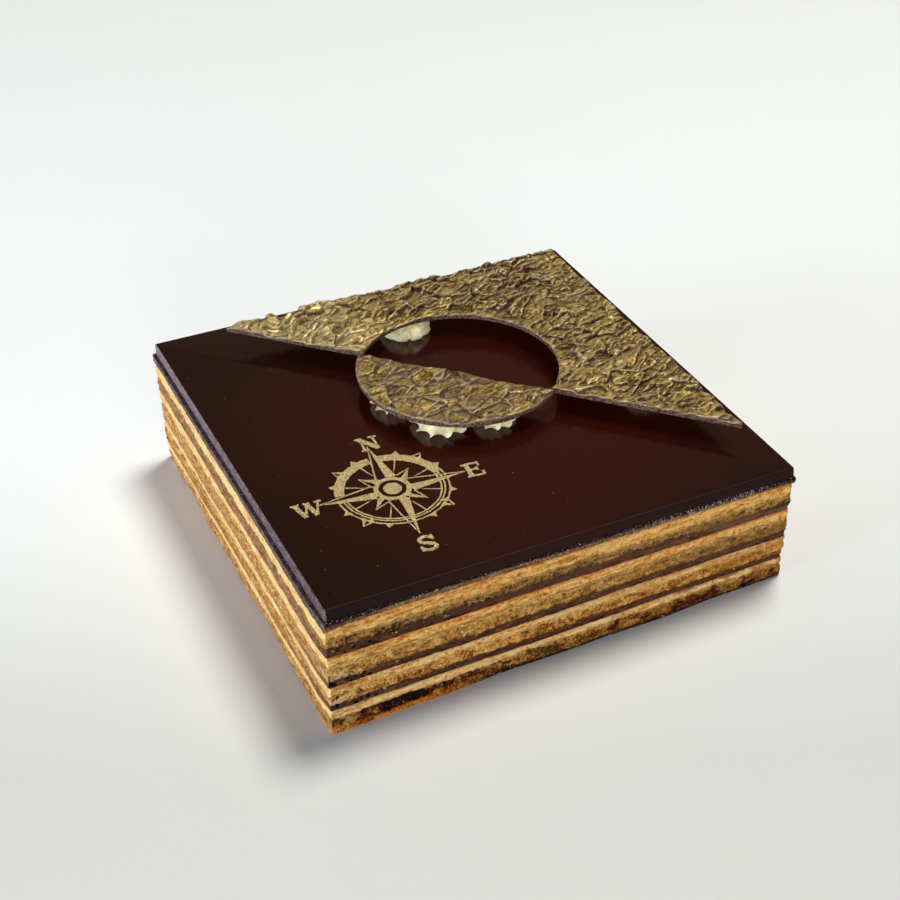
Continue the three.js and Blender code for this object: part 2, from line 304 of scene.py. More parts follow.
# a row for each layer from the top: name, depth of its underside below the glaze top at the left
# and the right side, how far it stands back, and how ragged that underside is
layerRows = [
    ("glaze", 4.2, 3.4, 0.0, 0.0),
    ("chocolate_plate", 6.8, 5.8, 0.0, 0.15),
    ("buttercream_1", 12.2, 10.6, 0.2, 1.05),
    ("sponge_1", 16.4, 14.6, 0.3, 0.3),
    ("ganache_1", 18.4, 16.3, 0.6, 0.16),
    ("buttercream_2", 22.3, 20.0, 0.4, 0.9),
    ("sponge_2", 28.0, 24.8, 0.5, 0.6),
    ("ganache_2", 30.4, 27.2, 0.9, 0.18),
    ("buttercream_3", 33.4, 29.6, 0.5, 0.7),
    ("sponge_3", 37.6, 34.2, 0.8, 0.6),
    ("ganache_3", 40.0, 36.2, 1.1, 0.18),
    ("buttercream_4", 42.8, 38.6, 0.8, 0.7),
    ("sponge_4", None, None, 0.9, 0.0),
]
layers = [dict(zip(("name", "left", "right", "inset", "ragged"), row)) for row in layerRows]


def topHeight(x, y):
    reach = cake["topReach"]
    front = cake["heightFrontLeft"]
    fallRight = (cake["heightFrontRight"] - front) * (x + reach) / (2 * reach)
    fallBack = (cake["heightBackLeft"] - front) * (y + reach) / (2 * reach)
    return front + fallRight + fallBack


def seamHeight(x, y, index):
    # height of a layer's underside; the last one's is the floor
    layer = layers[index]
    if layer["left"] is None:
        return np.zeros_like(x)
    share = (x + cake["halfWidth"]) / (2 * cake["halfWidth"])
    return topHeight(x, y) - layer["left"] * (1 - share) - layer["right"] * share


def onSide(x, y, index):
    # a place on the cake's side, so that the layers above and below a seam agree
    out = cake["halfWidth"]
    across = np.abs(x) > np.abs(y)
    sideX, sideY = np.where(across, np.sign(x) * out, x), np.where(across, y, np.sign(y) * out)
    return np.stack([sideX, sideY, np.full_like(x, 7.0 * index)], axis=1)


def raggedSeam(x, y, index):
    # the same height with what the crumbs add
    ragged = layers[index]["ragged"]
    if not ragged:
        return seamHeight(x, y, index)
    place = onSide(x, y, index)
    wave = sum(0.5 * grain(place, (size, size, 1), seed) for size, seed in cake["crumbSizes"])
    return seamHeight(x, y, index) + ragged * wave


def wander(along, side, seed, amount):
    # how far a cut side stands out at a share of its length
    waves = enumerate(zip(cake["wavesPerSide"], cake["waveShares"]), 1)
    return amount * sum(
        share * np.sin(2 * np.pi * (along * count + draw(side, i, seed))) for i, (count, share) in waves
    )


def rim(reach, step, corner=cake["cornerRound"]):
    # stations round a square with rounded corners, counter-clockwise from the front left:
    # place, outward direction, side and share of its length
    flat = reach - corner
    count = max(2, round(2 * flat / step))
    bends = cake["cornerBends"] + 1
    stations = []
    for side, (outX, outY) in enumerate(outwards.tolist()):
        alongX, alongY = -outY, outX
        for i in range(count):
            slide = flat * (2 * i / count - 1)
            x, y = outX * reach + alongX * slide, outY * reach + alongY * slide
            stations.append((x, y, outX, outY, side, i / count))
        for i in range(bends):
            angle = math.pi / 2 * i / bends
            turnX = outX * math.cos(angle) + alongX * math.sin(angle)
            turnY = outY * math.cos(angle) + alongY * math.sin(angle)
            x, y = (outX + alongX) * flat + corner * turnX, (outY + alongY) * flat + corner * turnY
            stations.append((x, y, turnX, turnY, side, 1.0))
    return np.array(stations)


def pushOf(stations, seed, amount):
    # the wandering cut, as an x and y shift for each station
    side, along = stations[:, 4:].T
    last = cake["stationsPerSide"]
    here = side.astype(int)
    shift = outwards[here] * wander(along, side, seed, amount)[:, None]
    before = wander(1.0, (side + 3) % 4, seed, amount) * np.clip(1 - last * along, 0, 1)
    after = wander(0.0, (side + 1) % 4, seed, amount) * np.clip(last * along - last + 1, 0, 1)
    return shift + outwards[here - 1] * before[:, None] + outwards[(here + 1) % 4] * after[:, None]


# Sides of the soft layers

softSides = {
    # lumps are depth, width and height; holes are depth, spacing, size, soft edge and seed
    "buttercream": {
        "step": 0.5, "row": 0.4, "wander": 0.26, "nearLumps": 0.0, "nearHoles": 0.0,
        "lumps": ((0.13, 9, 0.9), (0.1, 2.2, 0.6), (0.1, 0.8, 0.5)), "holes": (0.4, 2.1, 0.26, 0.12, 4),
    },
    "sponge": {
        "step": 0.34, "row": 0.34, "wander": 0.45, "nearLumps": 0.7, "nearHoles": 0.0,
        "lumps": ((0.2, 2.6, 1.6), (0.19, 1.1, 0.9), (0.17, 0.55, 0.5)),
        "holes": (0.45, 1.5, 0.28, 0.16, 3),
    },
    "ganache": {
        "step": 0.45, "row": 0.35, "wander": 0.22, "nearLumps": 0.0, "nearHoles": 1.0,
        "lumps": ((0.14, 3.1, 0.9), (0.12, 0.9, 0.5)), "holes": (0.9, 1.9, 0.45, 0.15, 3),
    },
}
proud = {
    "left": 0.5,  # how far the layers stand out along the left side
    "clear": (2.0, 11.0),  # where that starts and is full, from the front left corner
    "nearLength": 17.0,  # how far the rough front left corner reaches
    "swell": (0.15, 0.45),  # a layer's middle stands out and its edges stand back
    "meetWander": (0.25, 300),  # of the cut where two layers meet, and its seed
    "ripple": (0.14, 2.4, 60),  # depth, size and seed
    "meetFrom": 0.6,  # share of half a layer's height where that starts
    "innerGap": 2.0,  # from the cut to the flat rings over and under a layer
}


def nearCorner(points):
    # 1 at the front left corner, fading along both sides
    reach = cake["topReach"]
    return np.exp(-np.hypot(points[:, 0] + reach, points[:, 1] + reach) / proud["nearLength"])


def widened(stations, reach, leftReach):
    # the square with its left side moved out to leftReach and standing proud but for its front end
    wide = stations.copy()
    wide[:, 0] -= (leftReach - reach) * (reach - stations[:, 0]) / (2 * reach)
    stand = proud["left"] * smoothStep(wide[:, 1] + cake["halfWidth"], *proud["clear"])
    wide[:, 0] -= np.where(wide[:, 2] < -0.5, stand, 0)
    return wide


def reliefOf(side, points, seed):
    # lumps less holes; near adds to them at the front left corner
    near = nearCorner(points)
    lumps = 0
    for i, (depth, width, tall) in enumerate(side["lumps"]):
        lumps = lumps + depth * grain(points, (width, width, tall), seed + i)
    depth, spacing, size, soft, shift = side["holes"]
    holes = depth * (1 - side["nearHoles"] * (1 - near))
    holes = holes * smoothStep(size - pores(points, spacing, seed + shift), 0, soft)
    return (1 + side["nearLumps"] * near) * lumps - holes


def meeting(stations, index, inset):
    # how far out two layers meet at a seam, flush with each other; index is the layer above it
    depth, size, seed = proud["ripple"]
    ripple = depth * grain(onSide(stations[:, 0], stations[:, 1], index), (size, size, 1), seed)
    middle = (layers[index]["inset"] + layers[index + 1]["inset"]) / 2
    sides = 1 - np.clip(-stations[:, 2], 0, 1)  # all but the left one
    out = (inset - middle) * sides + ripple
    amount, seed = proud["meetWander"]
    return pushOf(stations, seed + index, amount) + stations[:, 2:4] * out[:, None]


def layerMesh(index, side):
    layer = layers[index]
    seed = 10 * (index + 1)
    isLast = layer["left"] is None
    reach = cake["halfWidth"] - cake["layerInset"] - layer["inset"]
    square = rim(reach, side["step"])
    stations = widened(square, reach, cake["halfWidth"] - cake["leftInset"])
    outward = stations[:, 2:4]
    pushes = [pushOf(stations, seed + level, side["wander"]) for level in range(3)]
    middle = seamHeight(0.0, 0.0, index - 1) - seamHeight(0.0, 0.0, index)
    rows = max(4, round(middle / side["row"]))
    shares = [row / rows for row in range(rows + 1)]
    rings, lumps = [], []
    for share in shares:
        level = 2 * share
        nearness = (max(0, 1 - level), 1 - abs(level - 1), max(0, level - 1))
        push = sum(part * near for part, near in zip(pushes, nearness))
        swell = side["wander"] * (proud["swell"][0] - proud["swell"][1] * (level - 1) ** 2)
        place = stations[:, :2] + push + outward * swell
        low = raggedSeam(*place.T, index) + (0 if isLast else cake["seam"])
        z = low * (1 - share) + (raggedSeam(*place.T, index - 1) - cake["seam"]) * share
        ring = np.column_stack([place, z])
        relief = reliefOf(side, ring, seed)
        if isLast:
            relief = relief * smoothStep(share, -0.06, 0.2)  # it stands evenly on its foot
        ring[:, :2] += outward * relief[:, None]
        seam = index if share < 0.5 else index - 1
        if 1 < seam < len(layers) - 1:
            blend = smoothStep(abs(level - 1), proud["meetFrom"], 1)
            met = stations[:, :2] + meeting(stations, seam, layer["inset"])
            ring[:, :2] = ring[:, :2] * (1 - blend) + met * blend
        rings.append(ring)
        lumps.append(np.clip(0.55 + 1.1 * relief, 0, 1))
    inner = square[:, :2] * (1 - proud["innerGap"] / reach)
    ends = [np.column_stack([inner, rings[end][:, 2]]) for end in (0, -1)]
    rings = [ends[0], *rings, ends[1]]
    points, faces = closedBand(rings, *[[0, 0, end[:, 2].mean()] for end in ends])
    values = {
        "share": np.append(np.repeat([0, *shares, 1], len(stations)), [0, 1]),
        "lump": np.concatenate([lumps[0], *lumps, lumps[-1], [0.5, 0.5]]),
        "near": nearCorner(points),
        "left": np.append(np.tile(stations[:, 2] < -0.5, len(rings)), [0, 0]),
        "along": points[:, 0] + cake["topReach"],  # mm from the left side
    }
    return (points, faces), values


# Buttercream, sponge and ganache finishes

creamFinish = {
    "pale": "ffd17c",
    "base": "e9a64a",
    "warm": "bb6c24",
    "stain": "7c4818",
    "crumb": "94642c",
    # painted light: paler, warmer tones for the lit left side
    "left": [(0.41, "dc9040"), (0.48, "ffca70"), (0.55, "fff0a4")],
    "lift": 0.01,  # how much paler it is
    "edge": 0.6,  # how brown its top edge is
    "crumbly": 0.75,  # how crumbly its foot is
    "right": ("c07c34", 0.0),  # tone of the patches towards the right side, and their share
}
creamLooks = {
    "buttercream_1": {"lift": 0.014},
    "buttercream_2": {"warm": "c4661c", "edge": 0.8, "base": "e09c42", "lift": 0.018},
    "buttercream_3": {
        "warm": "c07030", "pale": "ffd58c", "right": ("b8702c", 0.5),
        "lift": 0.03, "edge": 0.4, "crumbly": 0.5,
    },
    "buttercream_4": {
        "base": "f4ae54", "warm": "c87824", "pale": "ffdc90", "right": ("a85c16", 0.8),
        "lift": 0.045, "edge": 0.3, "crumbly": 0.4,
    },
}
glow = "f09c48"  # painted warm light, multiplied over patches of the left side
layerValues = ("share", "near", "left", "lump", "along")


def paintLeftLight(finish, share, stops, seed):
    # painted light: the left side, which the left lamp lights, is painted in paler, warmer, streaky tones
    streak = finish.noise(2.8, 5, 0.75, seed + 11, (1, 2.2, 0.6))
    middle = finish.noise(1.4, 4, 0.8, seed + 14, (1, 1.5, 0.8))
    fine = finish.noise(0.7, 4, 0.8, seed + 12, (1, 1.4, 0.9))
    colour = finish.ramp(0.3 * streak + 0.4 * middle + 0.3 * fine, stops)
    patch = finish.mask(finish.noise(6.0, 4, 0.7, seed + 13, (1, 2, 0.5)), 0.53, 0.66)
    finish.paint(share, finish.mix(patch * 0.5, colour, glow, "MULTIPLY"))


def paintRight(finish, along, look, seed):
    # patches of another tone, the more the nearer to the right side
    tint, amount = look["right"]
    patch = finish.mask(finish.noise(5.0, 4, 0.7, seed + 15, (2, 2, 0.6)), 0.4, 0.56)
    finish.paint(finish.mask(along, 40, 150) * patch * amount, tint)


def paintCream(finish, look, seed):
    share, near, left, lump, along = finish.attributes(*layerValues)
    smear = finish.noise(5.0, 5, 0.7, seed, (2.4, 2.4, 0.4))
    blotch = finish.noise(1.7, 5, 0.75, seed + 2, (1.5, 1.5, 0.8))
    fine = finish.noise(0.8, 4, 0.8, seed + 3, (1.3, 1.3, 1))
    # painted shade: sunken places are darker and lumps lighter
    value = 0.35 * smear + 0.35 * blotch + 0.35 * fine + 0.3 * lump + (look["lift"] - 0.21)
    finish.colour = finish.ramp(value, [(0.4, look["warm"]), (0.47, look["base"]), (0.56, look["pale"])])
    stain = finish.noise(3.4, 5, 0.75, seed + 4, (1.8, 1.8, 0.6)) + 0.14 * near
    finish.cover(stain, 0.55, 0.68, 0.55, look["stain"])
    # brown along the top, crumbs of the sponge along the foot
    finish.cover(share + 0.5 * blotch, 1.0, 1.28, look["edge"], look["warm"])
    finish.cover(0.55 * blotch + 0.5 * fine - 0.75 * share, 0.42, 0.48, look["crumbly"], look["crumb"])
    paintRight(finish, along, look, seed)
    finish.cover(finish.noise(0.9, 4, 0.7, seed + 5, (1.5, 1.5, 1)), 0.57, 0.63, 0.6, look["pale"])
    paintLeftLight(finish, left * 0.9, look["left"], seed)
    relief = finish.noise(0.6, 4, 0.75, seed + 7, (1.7, 1.7, 0.8))
    return finish.shade(0.45 + 0.25 * blotch, 0.15, relief, 0.45)


spongeLooks = {
    "sponge_1": {
        "dark": "34200f", "base": "784c20", "pale": "ad7a3c", "glint": "cfa55c",
        "soaked": 0.14, "crumbs": 0.0, "right": ("946636", 0.5),
        # painted light: paler, warmer tones for the lit left side
        "left": [(0.41, "5e3c22"), (0.49, "a06e42"), (0.57, "d8a468")],
    },
    "sponge_2": {
        "dark": "6a4016", "base": "b2752b", "pale": "d09746", "glint": "ecc274",
        "soaked": -0.05, "crumbs": 0.8, "right": ("6c4a22", 0.6),
    },
    "sponge_3": {
        "dark": "5c320e", "base": "ba7028", "pale": "e4a446", "glint": "f8ca80",
        "soaked": -0.03, "crumbs": 0.8, "right": ("a8641c", 0.5),
    },
    "sponge_4": {
        "dark": "261206", "base": "6c3e12", "pale": "ac7422", "glint": "ecb05c",
        "soaked": 0.04, "right": ("9c6218", 0.6),
    },
}
spongeShared = {
    "soak": "42251a",
    # painted light: paler, warmer tones for the lit left side
    "left": [(0.41, "704420"), (0.49, "ca8640"), (0.56, "f8cc7c")],
    "burnt": "120502",
    "ember": "641c08",
    "syrup": [(0.4, "3a1402"), (0.46, "b05000"), (0.53, "ff9408"), (0.62, "ffbe38")],
    "lump": "c89c4c",
    "crumb": "eacc8c",
    "fleck": "e8c0a0",
}
charred = {
    # where it starts and is full, or ends, in mm from the left side
    "start": (6, 10),
    "end": (40, 31),
    "syrupEnd": (56, 30),
}


def paintSponge(finish, look, seed):
    share, near, left, lump, along = finish.attributes(*layerValues)
    cloud = finish.noise(3.4, 5, 0.7, seed, (1.7, 1.7, 0.8))
    fine = finish.noise(0.95, 5, 0.85, seed + 1, (1, 1, 1.2))
    stops = [(0.4, look["dark"]), (0.47, look["base"]), (0.54, look["pale"]), (0.62, look["glint"])]
    # painted shade: sunken places of the crumb are darker and lumps lighter
    finish.colour = finish.ramp(0.3 * cloud + 0.65 * fine + 0.24 * lump - 0.1, stops)
    # cream is smeared over the top edge, syrup and ganache soak in from below
    finish.cover(0.5 * cloud + 0.5 * fine + 0.75 * share, 1.1, 1.17, 0.5, look["glint"])
    wet = 0.75 * finish.noise(4.5, 5, 0.75, seed + 4, (1.8, 1.8, 0.6)) + 0.3 * fine - share * 0.7
    finish.cover(wet, 0.36 - look["soaked"], 0.46 - look["soaked"], 0.85, look["soak"])
    # painted shade, darkest in the crumb's holes
    finish.cover(lump, 0.24, 0.02, 0.7, look["dark"])
    paintRight(finish, along, look, seed)
    if "crumbs" in look:
        crumb = finish.mask(finish.noise(1.3, 4, 0.7, seed + 8) + 0.2 * near - 0.26 * share, 0.57, 0.62)
        finish.paint(crumb * near * look["crumbs"], look["crumb"])
    else:
        # burnt lumps with red edges beyond the corner, syrup or scorch along the foot
        window = finish.mask(along, *charred["start"]) * finish.mask(along, *charred["end"])
        knots = finish.noise(4.2, 4, 0.7, seed + 6, (1.5, 1.5, 1.1))
        char = knots + 0.15 * window + 0.2 * fine
        sweet = finish.mask(along, *charred["syrupEnd"])
        golden = finish.mask(near + 0.5 * cloud, 0.72, 0.9) * finish.mask(knots, 0.42, 0.5)
        finish.paint(golden * 0.8, look["lump"])
        finish.cover(char, 0.64, 0.68, 0.95, look["ember"])
        finish.cover(char, 0.7, 0.74, 0.95, look["burnt"])
        foot = finish.mask(share + 0.5 * knots, 0.5, 0.36) * (1 - sweet)
        finish.paint(foot * 0.85, look["burnt"])
        syrup = finish.mask(share + 0.6 * fine + 0.6 * knots, 0.98, 0.84) * sweet
        finish.paint(syrup * 0.9, finish.ramp(0.3 * knots + 0.7 * fine, look["syrup"]))
        fleck = finish.noise(1.3, 3, 0.7, seed + 8) - 0.06 * share
        finish.cover(fleck, 0.6, 0.66, 0.8, look["fleck"])
    paintLeftLight(finish, left * (0.95 - 0.5 * near), look["left"], seed)
    relief = finish.noise(0.5, 4, 0.75, seed + 9) + 0.4 * finish.cells(0.8, seed + 2)
    return finish.shade(0.75, 0.12, relief, 0.5)


ganacheFinish = {
    "stops": [(0.38, "200e07"), (0.49, "4e2a17"), (0.6, "744624")],
    "speck": "a87c48",
    "top": "54362c",
    # painted light: paler, warmer tones for the lit left side
    "left": [(0.41, "7c5430"), (0.49, "b8824a"), (0.57, "e8b874")],
    # painted shade for its holes
    "burnt": "0b0503",
    "right": ("6c462c", 0.3),
}
ganacheLooks = {
    "ganache_1": {
        # painted light: paler, warmer tones for the lit left side
        "left": [(0.41, "5c3e28"), (0.49, "9a6c46"), (0.57, "cc9a68")], "right": ("805840", 0.7),
    },
    "ganache_2": {},
    "ganache_3": {
        # painted light: paler, warmer tones for the lit left side
        "left": [(0.41, "603014"), (0.49, "b87434"), (0.57, "ecac58")], "right": ("4e3014", 0.3),
    },
}


def paintGanache(finish, look, seed):
    share, near, left, lump, along = finish.attributes(*layerValues)
    cloud = finish.noise(2.8, 5, 0.7, seed, (1.8, 1.8, 0.7))
    fine = finish.noise(0.8, 4, 0.8, seed + 1)
    # painted shade: sunken places are darker
    finish.colour = finish.ramp(0.45 * cloud + 0.55 * fine + 0.2 * lump - 0.1, look["stops"])
    finish.cover(share, 0.4, 0.9, 0.4, look["top"])
    # painted shade: its holes are painted near black
    finish.paint(finish.mask(lump, 0.36, 0.1), look["burnt"])
    finish.cover(0.4 * cloud + 0.6 * fine, 0.58, 0.64, 0.6, look["speck"])
    paintRight(finish, along, look, seed)
    paintLeftLight(finish, left * (0.95 - 0.8 * near), look["left"], seed)
    return finish.shade(0.4 + 0.3 * cloud, 0.1, finish.noise(0.6, 4, 0.7, seed + 5), 0.4)


softPaints = {
    "buttercream": (paintCream, creamFinish, creamLooks),
    "sponge": (paintSponge, spongeShared, spongeLooks),
    "ganache": (paintGanache, ganacheFinish, ganacheLooks),
}
for index, layer in enumerate(layers[2:], 2):
    name = layer["name"]
    kind = name.split("_")[0]
    paint, shared, looks = softPaints[kind]
    material = paint(Finish(name + "_finish"), {**shared, **looks[name]}, index * 3.1)
    shape, values = layerMesh(index, softSides[kind])
    makePiece("cut_" + name, shape, material, [name], values, 60)
print("soft layers built")


# Chocolate plate and mirror glaze

plate = {
    "step": 0.42,
    "rows": 7,
    "corner": 0.9,
    "wander": 0.12,
    "profile": ((0, 0.12, 0.55, 0.9, 1), (-0.5, -0.15, 0, -0.1, -0.35)),
    "leftUpright": 0.9,  # how far its left side stands up straight, a ledge beside the glaze
    "droop": 1.1,  # it hangs lower at the front left corner
    "droopLength": 7.0,
    "nickedFrom": (5, 35),  # scraped nicks show in the front face, towards its right end
    "nickedTo": (74, 60),
}


def plateMesh():
    reach = cake["halfWidth"] - plate["wander"]
    square = rim(reach, plate["step"], plate["corner"])
    stations = widened(square, reach, reach)
    outward = stations[:, 2:4]
    shares = [row / (plate["rows"] - 1) for row in range(plate["rows"])]
    rings = []
    for share in shares:
        upright = 1 + plate["leftUpright"] * np.clip(outward[:, :1], -1, 0)
        inset = np.interp(share, *plate["profile"]) * upright
        place = stations[:, :2] + pushOf(stations, 3, plate["wander"]) + outward * inset
        x, y = place.T
        corner = np.hypot(x + reach, y + reach) / plate["droopLength"]
        low = raggedSeam(x, y, 1) - plate["droop"] * np.exp(-corner) + cake["seam"]
        ring = np.column_stack([place, low * (1 - share) + (seamHeight(x, y, 0) - cake["seam"]) * share])
        relief = 0.13 * grain(ring, (1.6, 1.6, 0.8), 61) + 0.1 * grain(ring, (0.6, 0.6, 0.4), 62)
        ring[:, :2] += outward * relief[:, None]
        rings.append(ring)
    shape = closedBand(rings, *[[0, 0, seamHeight(0.0, 0.0, i)] for i in (1, 0)])
    isFront = square[:, 4] == 0
    x = square[:, 0]
    nicked = isFront * smoothStep(x, *plate["nickedFrom"]) * smoothStep(x, *plate["nickedTo"])
    tiled = {"nicked": nicked, "left": square[:, 2] < -0.5, "along": x + reach}
    values = {key: np.append(np.tile(value, len(rings)), [0, 0]) for key, value in tiled.items()}
    values["share"] = np.append(np.repeat(shares, len(stations)), [0, 0])
    return shape, values, np.tile(isFront, len(rings) - 1)


plateFinish = {
    "stops": [(0.38, "120907"), (0.5, "261410"), (0.62, "4a302a")],
    # painted reflection: paler tones for the left side, as its gloss would show
    "left": [(0.38, "22120f"), (0.49, "573937"), (0.6, "90706a")],
    "foot": [(0.4, "45291a"), (0.49, "704c30"), (0.58, "a87e4e")],
    "speck": "e2d6d0",
    "nick": "b7aca2",
    "shiny": (0.5, 0.15),  # roughness and specular level
    "dull": (0.75, 0.04),  # the same at the front side
}


def plateMaterial(name, roughness, level):
    # the side that the camera meets flat on is dull, and the others shine
    finish = Finish(name)
    share, left, nicked, along = finish.attributes("share", "left", "nicked", "along")
    value = 0.5 * finish.noise(1.8, 5, 0.7, 2) + 0.5 * finish.noise(0.7, 4, 0.8, 4)
    finish.colour = finish.ramp(value, plateFinish["stops"])
    # its foot is smeared with cream, most between the left side and the middle
    spread = finish.mask(along, 4, 30) * finish.mask(along, 150, 50)
    smeared = finish.mask(share + 0.8 * value - 0.26 * spread, 1.06, 0.82)
    finish.paint(smeared * 0.9, finish.ramp(value + 0.03 * spread, plateFinish["foot"]))
    # painted reflection: paler tones on the left side
    finish.paint(left * 0.9, finish.ramp(value, plateFinish["left"]))
    speck = finish.mask(finish.noise(0.5, 2, 0.5, 5), 0.63, 0.69) * finish.mask(share, 0.45, 0.7)
    finish.paint(speck * 0.85, plateFinish["speck"])
    nick = finish.mask(finish.noise(0.5, 2, 0.5, 9, (0.8, 3.0, 4.0)), 0.54, 0.63)
    finish.paint(nick * nicked * 0.65, plateFinish["nick"])
    return finish.shade(roughness, level, finish.noise(0.5, 5, 0.7, 8), 0.3)


glaze = {
    "step": 2.0,
    "corner": 0.6,
    "lean": 0.4,  # its foot stands out from its top
    "leanShares": ((0.6, 0.0), (1.0, 0.05), (0.8, 0.4), (0.3, 1.0)),  # of that, at shares of its height
    "leftUpright": 0.8,  # how far its left side stands up straight
    "edge": 0.4,  # radius of the rounded top edge
    "edgeBends": 5,
    # painted glow: the base colour is redder in the middle than further out
    "middle": "260803",
    "outer": "0c0402",
    # painted glow, given off by the glaze itself so that it stays dark red also in shade, in the middle
    # and further out
    "depth": (0.0085, 0.0009, 0.0005, 1),
    "outerGlow": (0.0035, 0.001, 0.0004, 1),
    "shiny": (0.15, 0.37),  # roughness and specular level
    "dull": (0.5, 0.12),  # the same at the front side
    "leftReflection": [(0.4, "413433"), (0.49, "6c5b59"), (0.58, "8f7c7b")],  # painted reflection: a pale grey on the left side in place of its gloss
    "glowMiddle": (8, -14, 46),
    "glowReach": (135, 55),  # where the painted glow round the middle ends and starts to fade
}


def glazeMesh():
    stations = rim(cake["topReach"], glaze["step"], glaze["corner"])
    place, normal, edge = stations[:, :2], stations[:, 2:4], glaze["edge"]
    lean = glaze["lean"] * (1 - glaze["leftUpright"] * np.clip(-normal[:, :1], 0, 1))
    foot = seamHeight(*place.T, 0) + cake["seam"]
    top = topHeight(*place.T)
    rings = []
    for out, share in glaze["leanShares"]:
        z = foot + (top - edge - foot) * share
        rings.append(np.column_stack([place + normal * out * lean, z]))
    for bend in range(1, glaze["edgeBends"] + 1):
        angle = math.pi / 2 * bend / glaze["edgeBends"]
        out = glaze["leanShares"][-1][0] * lean - edge * (1 - math.cos(angle))
        rings.append(np.column_stack([place + normal * out, top - edge * (1 - math.sin(angle))]))
    middles = [[0, 0, seamHeight(0.0, 0.0, 0) + cake["seam"]], [0, 0, topHeight(0.0, 0.0)]]
    front, left = [np.tile(stations[:, 4] == side, len(rings) - 1) for side in (0, 3)]
    return closedBand(rings, *middles), front, left


def glazeMaterial(name, roughness, level):
    finish = Finish(name)
    # painted glow: a redder base colour and a stronger emission round the middle
    far = finish.join("DISTANCE", finish.place, glaze["glowMiddle"], "Value")
    warm = finish.mask(far + 40 * finish.noise(60, 2, 0.5, 3), *glaze["glowReach"])
    finish.colour = finish.mix(warm, glaze["outer"], glaze["middle"])
    light = finish.mix(warm, glaze["outerGlow"], glaze["depth"])
    more = {"IOR": 1.48, "Emission Color": light, "Emission Strength": 1.0}
    return finish.shade(roughness, level, more=more)


def leftReflectionMaterial():
    # painted reflection: the left side is painted a pale grey, as its gloss would show
    finish = Finish("glaze_left")
    # darker towards the front left corner
    away = finish.join("DOT_PRODUCT", finish.place, (0, 1, 0), "Value")
    value = 0.5 * finish.noise(2.2, 5, 0.7, 2) + 0.5 * finish.noise(0.8, 4, 0.8, 3)
    finish.colour = finish.ramp(value + 0.0005 * away, glaze["leftReflection"])
    return finish.shade(0.5, 0.1, finish.noise(0.7, 4, 0.7, 5), 0.15)


# each front side has its own, duller material
shape, values, front = plateMesh()
shiny = plateMaterial("plate_chocolate", *plateFinish["shiny"])
piece = makePiece("cut_chocolate_plate", shape, shiny, ["chocolate_plate"], values, 60)
dress(piece, plateMaterial("plate_chocolate_front", *plateFinish["dull"]), front)
shape, front, left = glazeMesh()
mirror = glazeMaterial("mirror_glaze", *glaze["shiny"])
piece = makePiece("mirror_glaze", shape, mirror, ["glaze"], None, 40)
dress(piece, glazeMaterial("glaze_front", *glaze["dull"]), front)
dress(piece, leftReflectionMaterial(), left)
print("plate and glaze built")


# Crumpled bronze chocolate

crumpled = {
    "lift": 5.8,  # underside above the glaze
    "thickness": 1.9,
    "thinnest": 0.7,
    "corner": (71.2, 66.8),
    "cut": 10.6,  # x + y along the long slanting edge
    "biteCentre": (5.6, 9.6),
    "biteRadius": 33.4,
    "segmentRadius": 34.3,
    "segmentCut": 9.6,
    "creases": ((15, 1.1, 5), (6.6, 0.5, 9)),  # size, depth and seed
    "bend": (0.55, 1.7),  # depth and size of their bends, as shares of their size
    "calm": 0.3,  # share of that depth at a cut edge
    "calmReach": 5.0,
    "calmSegment": 0.4,  # the same share on the segment
    "calmRight": 0.6,  # the same share to the right of the left wing
    "calmRun": (-26, 0),  # where the left wing ends, along x
    "facets": (
        {"size": 8.6, "stretch": 1.35, "tilt": 0.08, "step": 0.1, "fold": 0.18, "seed": 31},
        {"size": 4.1, "stretch": 1.6, "tilt": 0.13, "step": 0.08, "fold": 0.06, "seed": 45},
        {"size": 1.9, "stretch": 2.2, "tilt": 0.13, "step": 0.03, "fold": 0.02, "seed": 58},
    ),
    "wrinkles": ((2.3, 0.22, 64), (1.2, 0.14, 67)),  # size, depth and seed
    "wrinkleStretch": 2.6,
    "wrinkleBend": (1.5, 8),  # depth and size of their bends
    "pull": 23,  # degrees from x towards y that the wrinkles run
    # shares of the three sizes of facets and of the wrinkles, on the segment, wing and right side
    "liveliness": ((1.0, 1.15, 0.7), (0.9, 1.2, 1.1), (0.4, 0.3, 1.0), (0.2, 0.1, 0.4)),
    "shingle": 0.5,  # how much the facets lean the same way
    "foldShare": (1.0, 0.55),  # how much the folds of the two larger sizes count
    "edgeShare": 0.6,  # of all these, at a cut edge
    "flatCut": (0.22, 0.72, 3.5),  # share on the segment at its edge and inside, and the reach of that
    "gapMiddle": -0.35,  # between the slanting edge and the segment's straight cut
    "litFrom": (0.13, 0.22),  # painted light: the slopes that face this way, towards the lamps, are painted lighter
    "litGain": 2.2,
    "curveShadingGains": ((0.3, 2.8), (1.2, 0.4)),  # reach of a bump or hollow, and how much it is painted lighter or darker
    "facetBend": (0.9, 5),  # depth and size of the bends in the facets' borders
    "foldGain": 2.4,
    "foldWidth": 0.34,
    "spacing": 0.33,  # of the points on the crumpled face
    "underSpacing": 2.4,
    "scatter": 0.3,  # how far a point strays, as a share of that
    "clearance": 0.6,  # how far the points stay from the outline, as a share of that
    "edgeStep": 0.36,
    "edgeRows": 5,
    "edgeBulge": 0.1,
    "chips": ((0.1, 1.3, 0.9), (0.06, 0.6, 0.5)),  # depth, width and height of chips in the edge
    "edgeRound": 0.4,
    "roundDepth": 0.3,
}


